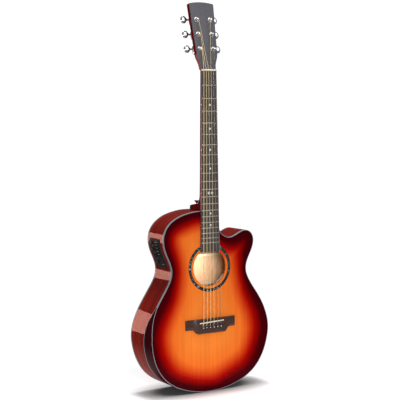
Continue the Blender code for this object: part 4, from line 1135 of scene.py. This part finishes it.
def make_strings():
    for number, name in enumerate(STRING_NAMES):
        route = string_route(number)
        kind = "wound" if number < 4 else "plain"
        rings = tube_rings(route, STRING_RADII[number] * STRING_SHOW)
        steps = [(after - before).length for before, after in zip(route, route[1:])]
        grain = [(length, 0.0, 0.0) for length in np.cumsum([0, *steps]) for _ in rings[0]]
        lofted("steel_string_" + name, rings, kind, kind + "_string", "string_" + name, angle=60,
               grain=grain)


# ---- preamp, jack and strap button

def side_spot(z, depth, lift, bass=True):
    """A point off the side at height z, and the outward direction there."""
    on_side = ((-OUTLINE if bass else OUTLINE)[:, 0] > 100) & (OUTLINE[:, 1] < 440)
    order = np.argsort(OUTLINE[on_side, 1])

    def at_height(values):
        return np.interp(z, OUTLINE[on_side, 1][order], values[on_side][order])

    step = np.array([at_height(INWARD[:, 0]), at_height(INWARD[:, 1])])
    step /= np.linalg.norm(step)
    place = world(at_height(OUTLINE[:, 0]) - step[0] * lift, depth, z - step[1] * lift)
    return place, Vector((-step[0], 0, -step[1]))


def curved_pad(low, high, near, far, base, top, corner=2.0, ease=0.5, steps=22):
    """A thin pad that follows the bass side, with round corners and eased edges."""
    half = (far - near) / 2
    fractions = [corner * (1 - math.cos(a)) for a in np.linspace(0.12, math.pi / 2, 7)]
    stations = [low + f for f in fractions]
    stations += [*np.linspace(low + corner, high - corner, steps)[1:-1]]
    stations += [high - f for f in reversed(fractions)]
    rings = []
    for z in stations:
        end = min(z - low, high - z)
        pull = corner - math.sqrt(max(0.0, corner ** 2 - (corner - end) ** 2)) if end < corner else 0
        reach = half - pull
        soft = min(ease, reach * 0.5)
        level = top - (ease * (1 - end / ease) ** 2 if end < ease else 0)
        edge = [(reach, base), (reach, level - soft), (reach - soft * 0.3, level - soft * 0.3),
                (reach - soft, level)]
        section = [(-x, lift) for x, lift in edge]
        section += [(x, level) for x in np.linspace(-reach + soft, reach - soft, 6)[1:-1]]
        section += edge[::-1]
        rings.append([side_spot(z, (near + far) / 2 + across, lift)[0] for across, lift in section])
    return loft(rings)


def make_preamp():
    """The panel on the bass side: a raised frame, a dark display, knobs, a button and marks."""
    def framed(margin, *sizes):
        return curved_pad(PREAMP_LOW_Z + margin, PREAMP_HIGH_Z - margin,
                          PREAMP_DEPTHS[0] + margin, PREAMP_DEPTHS[1] - margin, *sizes)

    def mark(z, height, near, far, proud, corner=0.4):
        return curved_pad(z, z + height, near, far, 1.0, BEZEL_PROUD + proud, corner, 0.05, 4)

    case = merged([framed(0, -2.6, 1.7, 4.0, 0.9), framed(3, 0.5, BEZEL_PROUD, 3.0, 0.5),
                   framed(6, -22.0, -2.0, 1.5, 0.4)])
    make_piece("preamp_case", case, "panel", "preamp_plastic", "preamp_panel", angle=40)
    display = curved_pad(*DISPLAY_ZS, *DISPLAY_DEPTHS, 1.0, BEZEL_PROUD + 0.25, 1.6, 0.25)
    make_piece("preamp_display", display, "glass", "preamp_plastic", angle=40)
    marks = [mark(z + offset - 0.35, 0.7, KNOB_DEPTH - 1.2, KNOB_DEPTH + 1.2, 0.06, 0.3)
             for z in KNOB_ZS.values() for offset in (-KNOB_TICK_OFFSET, KNOB_TICK_OFFSET)]
    marks.append(mark(PANEL_BAR_Z, 1.0, *PANEL_BAR_DEPTHS, 0.06))
    marks += [mark(z, 0.8, *DISPLAY_BAR_DEPTHS, 0.30) for z in DISPLAY_BAR_ZS]
    make_piece("preamp_marks", merged(marks), "mark", "preamp_plastic", angle=40)
    for name, z in KNOB_ZS.items():
        make_knob(name, z)
    radius, face = PUSH_RADIUS, BEZEL_PROUD
    profile = [(radius, 0.5), (radius, face + 1.0), (radius - 0.2, face + 1.4),
               (radius - 0.8, face + 1.6), (0.4, face + 1.3)]
    make_piece("push_button_cap", turned(profile, *side_spot(PUSH_Z, PUSH_DEPTH, 0), 32), "knob",
               "knob_plastic", "tuner_push_button", "tuner_push_button")


def make_knob(name, z):
    """A fluted knob with a light pointer line."""
    origin, outward = side_spot(z, KNOB_DEPTH, 0)
    turn = outward.to_track_quat("Z", "Y").to_matrix()
    radius, face = KNOB_RADIUS, BEZEL_PROUD
    top = face + KNOB_HEIGHT
    # radius, height, how deep the flutes are
    profile = [(radius - 0.1, face + 0.3, 0.0), (radius, face + 0.5, 0.0),
               (radius, face + 0.9, 0.0), (radius - 0.2, face + 1.1, 1.0),
               (radius - 0.35, face + 3.3, 1.0), (radius - 0.7, face + 3.8, 0.5),
               (radius - 1.2, top, 0.0), (0.6, top - 0.1, 0.0)]
    rings = []
    for radius, along, flute in profile:
        ring = []
        for a in ring_angles(72):
            reach = radius - 0.22 * flute * (0.5 + 0.5 * math.cos(18 * a))
            spot = Vector((math.cos(a) * reach, math.sin(a) * reach, along))
            ring.append(origin + turn @ spot * MM)
        rings.append(ring)
    lofted("fluted_" + name, rings, "knob", "knob_plastic", name, body=name, angle=40)
    line = [[origin + turn @ Vector((x, y, along)) * MM
             for x, y in ((1.2, -0.3), (3.4, -0.3), (3.4, 0.3), (1.2, 0.3))]
            for along in (top - 0.4, top + 0.05)]
    lofted("pointer_" + name, line, "mark", "knob_plastic", body=name)


def make_output_jack():
    """An oval plate with two screws and a threaded socket on the treble side."""
    rings = []
    tall, wide = JACK_PLATE_HALF_HEIGHT, JACK_PLATE_HALF_WIDTH
    for dz in np.linspace(0.4 - tall, tall - 0.4, 23):
        reach = wide * math.sqrt(max(0.02, 1 - (dz / tall) ** 2)) ** 0.7
        section = [(-reach, -0.2), (-reach, 1.3), (-reach * 0.94, 1.7), (0, 1.8),
                   (reach * 0.94, 1.7), (reach, 1.3), (reach, -0.2)]
        rings.append([side_spot(JACK_Z + dz, JACK_DEPTH + across, lift, bass=False)[0]
                      for across, lift in section])
    centre = side_spot(JACK_Z, JACK_DEPTH, 0, bass=False)[0]
    level = Vector((1, 0, 0))
    bore, sleeve = JACK_BORE_RADIUS, JACK_SLEEVE_RADIUS
    socket = [(bore, -18), (sleeve, -18), (sleeve, 2.4), (sleeve - 0.3, 3.1), (sleeve - 1.0, 3.4),
              (bore + 0.5, 3.4), (bore, 3.0)]
    shapes = [loft(rings), turned(socket, centre, level, 48, closed=True)]
    for dz in (-JACK_SCREW_OFFSET, JACK_SCREW_OFFSET):
        shapes.append(turned([(2.1, -0.5), (2.1, 0.2), (1.7, 0.7), (0.4, 0.9)],
                             *side_spot(JACK_Z + dz, JACK_DEPTH, 1.6, bass=False), 24))
    make_piece("jack_plate", merged(shapes), "chrome", "chrome", "output_jack")
    make_piece("jack_socket_floor", turned([(bore, -17.5), (bore, -16.5)], centre, level, 32),
               "dark", "chrome")


def make_strap_button():
    profile = [(5.8, 0.1), (5.8, 0.9), (5.2, 1.5), (4.2, 2.4), (3.6, 3.8), (3.4, 6.0), (3.5, 8.2),
               (4.4, 9.8), (6.0, 10.8), (7.1, 11.5), (7.4, 12.2), (7.2, 13.0), (6.4, 13.5),
               (5.2, 13.6), (2.6, 13.6), (2.3, 13.0), (0.5, 13.0)]
    peg = turned(profile, world(0, STRAP_DEPTH, STRAP_BASE_Z), Vector((0, 0, 1)), 64)
    make_piece("strap_peg", peg, "chrome", "chrome", "strap_button")


def dress_inner_pieces():
    """The pieces inside keep their frame meshes and get finishes of their own."""
    dress = {"inner": ["neck_block", "tail_block"], "lining": ["top_lining", "back_lining"],
             "brace": ["x_brace", "bridge_plate", "back_brace_upper", "back_brace_lower"],
             "steel": ["truss_rod"]}
    for finish, nodes in dress.items():
        for node in nodes:
            mesh = frame["nodes"][node].data
            mesh.materials.clear()
            mesh.materials.append(FINISHES[finish])


# ---- camera, floor and light

def make_camera():
    data = bpy.data.cameras.new("camera")
    data.lens = CAMERA_LENS
    data.sensor_width = 36.0
    camera = add_object("camera", data)
    axes = (CAMERA_RIGHT, CAMERA_UP, -Vector(CAMERA_VIEW))
    camera.matrix_world = Matrix.Translation(CAMERA_PLACE) @ Matrix(axes).transposed().to_4x4()
    bpy.context.scene.camera = camera


def make_floor():
    """A pale floor that fades out into the studio's light around the guitar; its colour and its glow
    darken where ambient occlusion finds the guitar close, a painted contact shadow.
    """
    mesh = bpy.data.meshes.new("floor")
    reach = FLOOR_FADE[1]
    mesh.from_pydata([(-reach, -reach, 0), (reach, -reach, 0), (reach, reach, 0),
                      (-reach, reach, 0)], [], [(0, 1, 2, 3)])
    finish = Finish("floor_white_painted_shadow", rough=0.9, specular=0.0)
    # painted contact shadow: the floor's colour and glow go dark grey where the guitar occludes it
    open_share = finish.node("AmbientOcclusion", {"Distance": SHADOW_REACH}, "AO")
    shade = finish.mix(finish.levels(open_share, 0.35, 0.95), srgb(72, 72, 72), srgb(246, 246, 246))
    finish.colour(shade)
    finish.set(finish.inputs["Emission Color"], shade)
    finish.inputs["Emission Strength"].default_value = FLOOR_GLOW
    distance = finish.node("VectorMath", {0: finish.place()}, "Value", operation="LENGTH")
    finish.set(finish.inputs["Alpha"], finish.levels(distance, *FLOOR_FADE, 1.0, 0.0))
    mesh.materials.append(finish.material)
    add_object("floor", mesh)


def make_light(name, place, target, width, height, power, colour=(1, 1, 1)):
    data = bpy.data.lights.new(name, "AREA")
    data.color = colour
    data.shape = "RECTANGLE"
    data.size = width
    data.size_y = height
    data.energy = power
    light = add_object(name, data)
    light.location = place
    direction = Vector(target) - Vector(place)
    light.rotation_euler = direction.to_track_quat("-Z", "Y").to_euler()
    return light


def make_sun():
    """Even light from overhead, so that the floor is white all over."""
    data = bpy.data.lights.new("overhead", "SUN")
    data.energy = SUN_STRENGTH
    data.angle = math.radians(14)
    add_object("overhead", data).rotation_euler = (math.radians(-4), 0, 0)


def make_world():
    """White behind the guitar, and a dim grey light on it."""
    studio = bpy.data.worlds.new("studio")
    studio.use_nodes = True
    bpy.context.scene.world = studio
    tree = studio.node_tree
    shade = tree.nodes.new("ShaderNodeMix")
    shade.data_type = "RGBA"
    shade.inputs[6].default_value = (0.25, 0.25, 0.26, 1.0)
    shade.inputs[7].default_value = (1.05, 1.05, 1.05, 1.0)
    seen = tree.nodes.new("ShaderNodeLightPath").outputs["Is Camera Ray"]
    tree.links.new(seen, shade.inputs[0])
    tree.links.new(shade.outputs[2], tree.nodes["Background"].inputs["Color"])


def make_studio():
    bpy.context.scene.view_settings.view_transform = "Standard"
    make_world()
    make_light("key", (1.3, -2.3, 2.4), LIGHT_TARGET, 1.3, 1.3, KEY_POWER)
    make_light("fill", (-1.10, -2.9, 0.95), LIGHT_TARGET, 0.9, 0.9, FILL_POWER)
    # lights only the gloss, as the broad band along the side
    side_box = make_light("side_box", (-1.19, 1.7, 0.40), (-0.18, 0, 0.3), 0.6, 0.75, SIDE_POWER,
                          (1.0, 0.46, 0.36))
    side_box.visible_diffuse = False
    # shines through the soundhole onto the back
    inside = make_light("inside", (0.01, -0.038, 0.335), (0.012, 0.045, 0.325), 0.03, 0.05, INSIDE_POWER)
    inside.data.spread = math.radians(84)
    make_sun()


FINISHES = make_finishes()
for make in (make_camera, make_floor, make_studio, make_soundboard, make_rosette, make_bindings,
             make_sides, make_armrest, make_back, make_neck, make_faceplate, make_fretboard,
             make_inlays, make_nut, make_tuners, make_bridge, make_saddle, make_pins, make_strings,
             make_preamp, make_output_jack, make_strap_button, dress_inner_pieces):
    make()
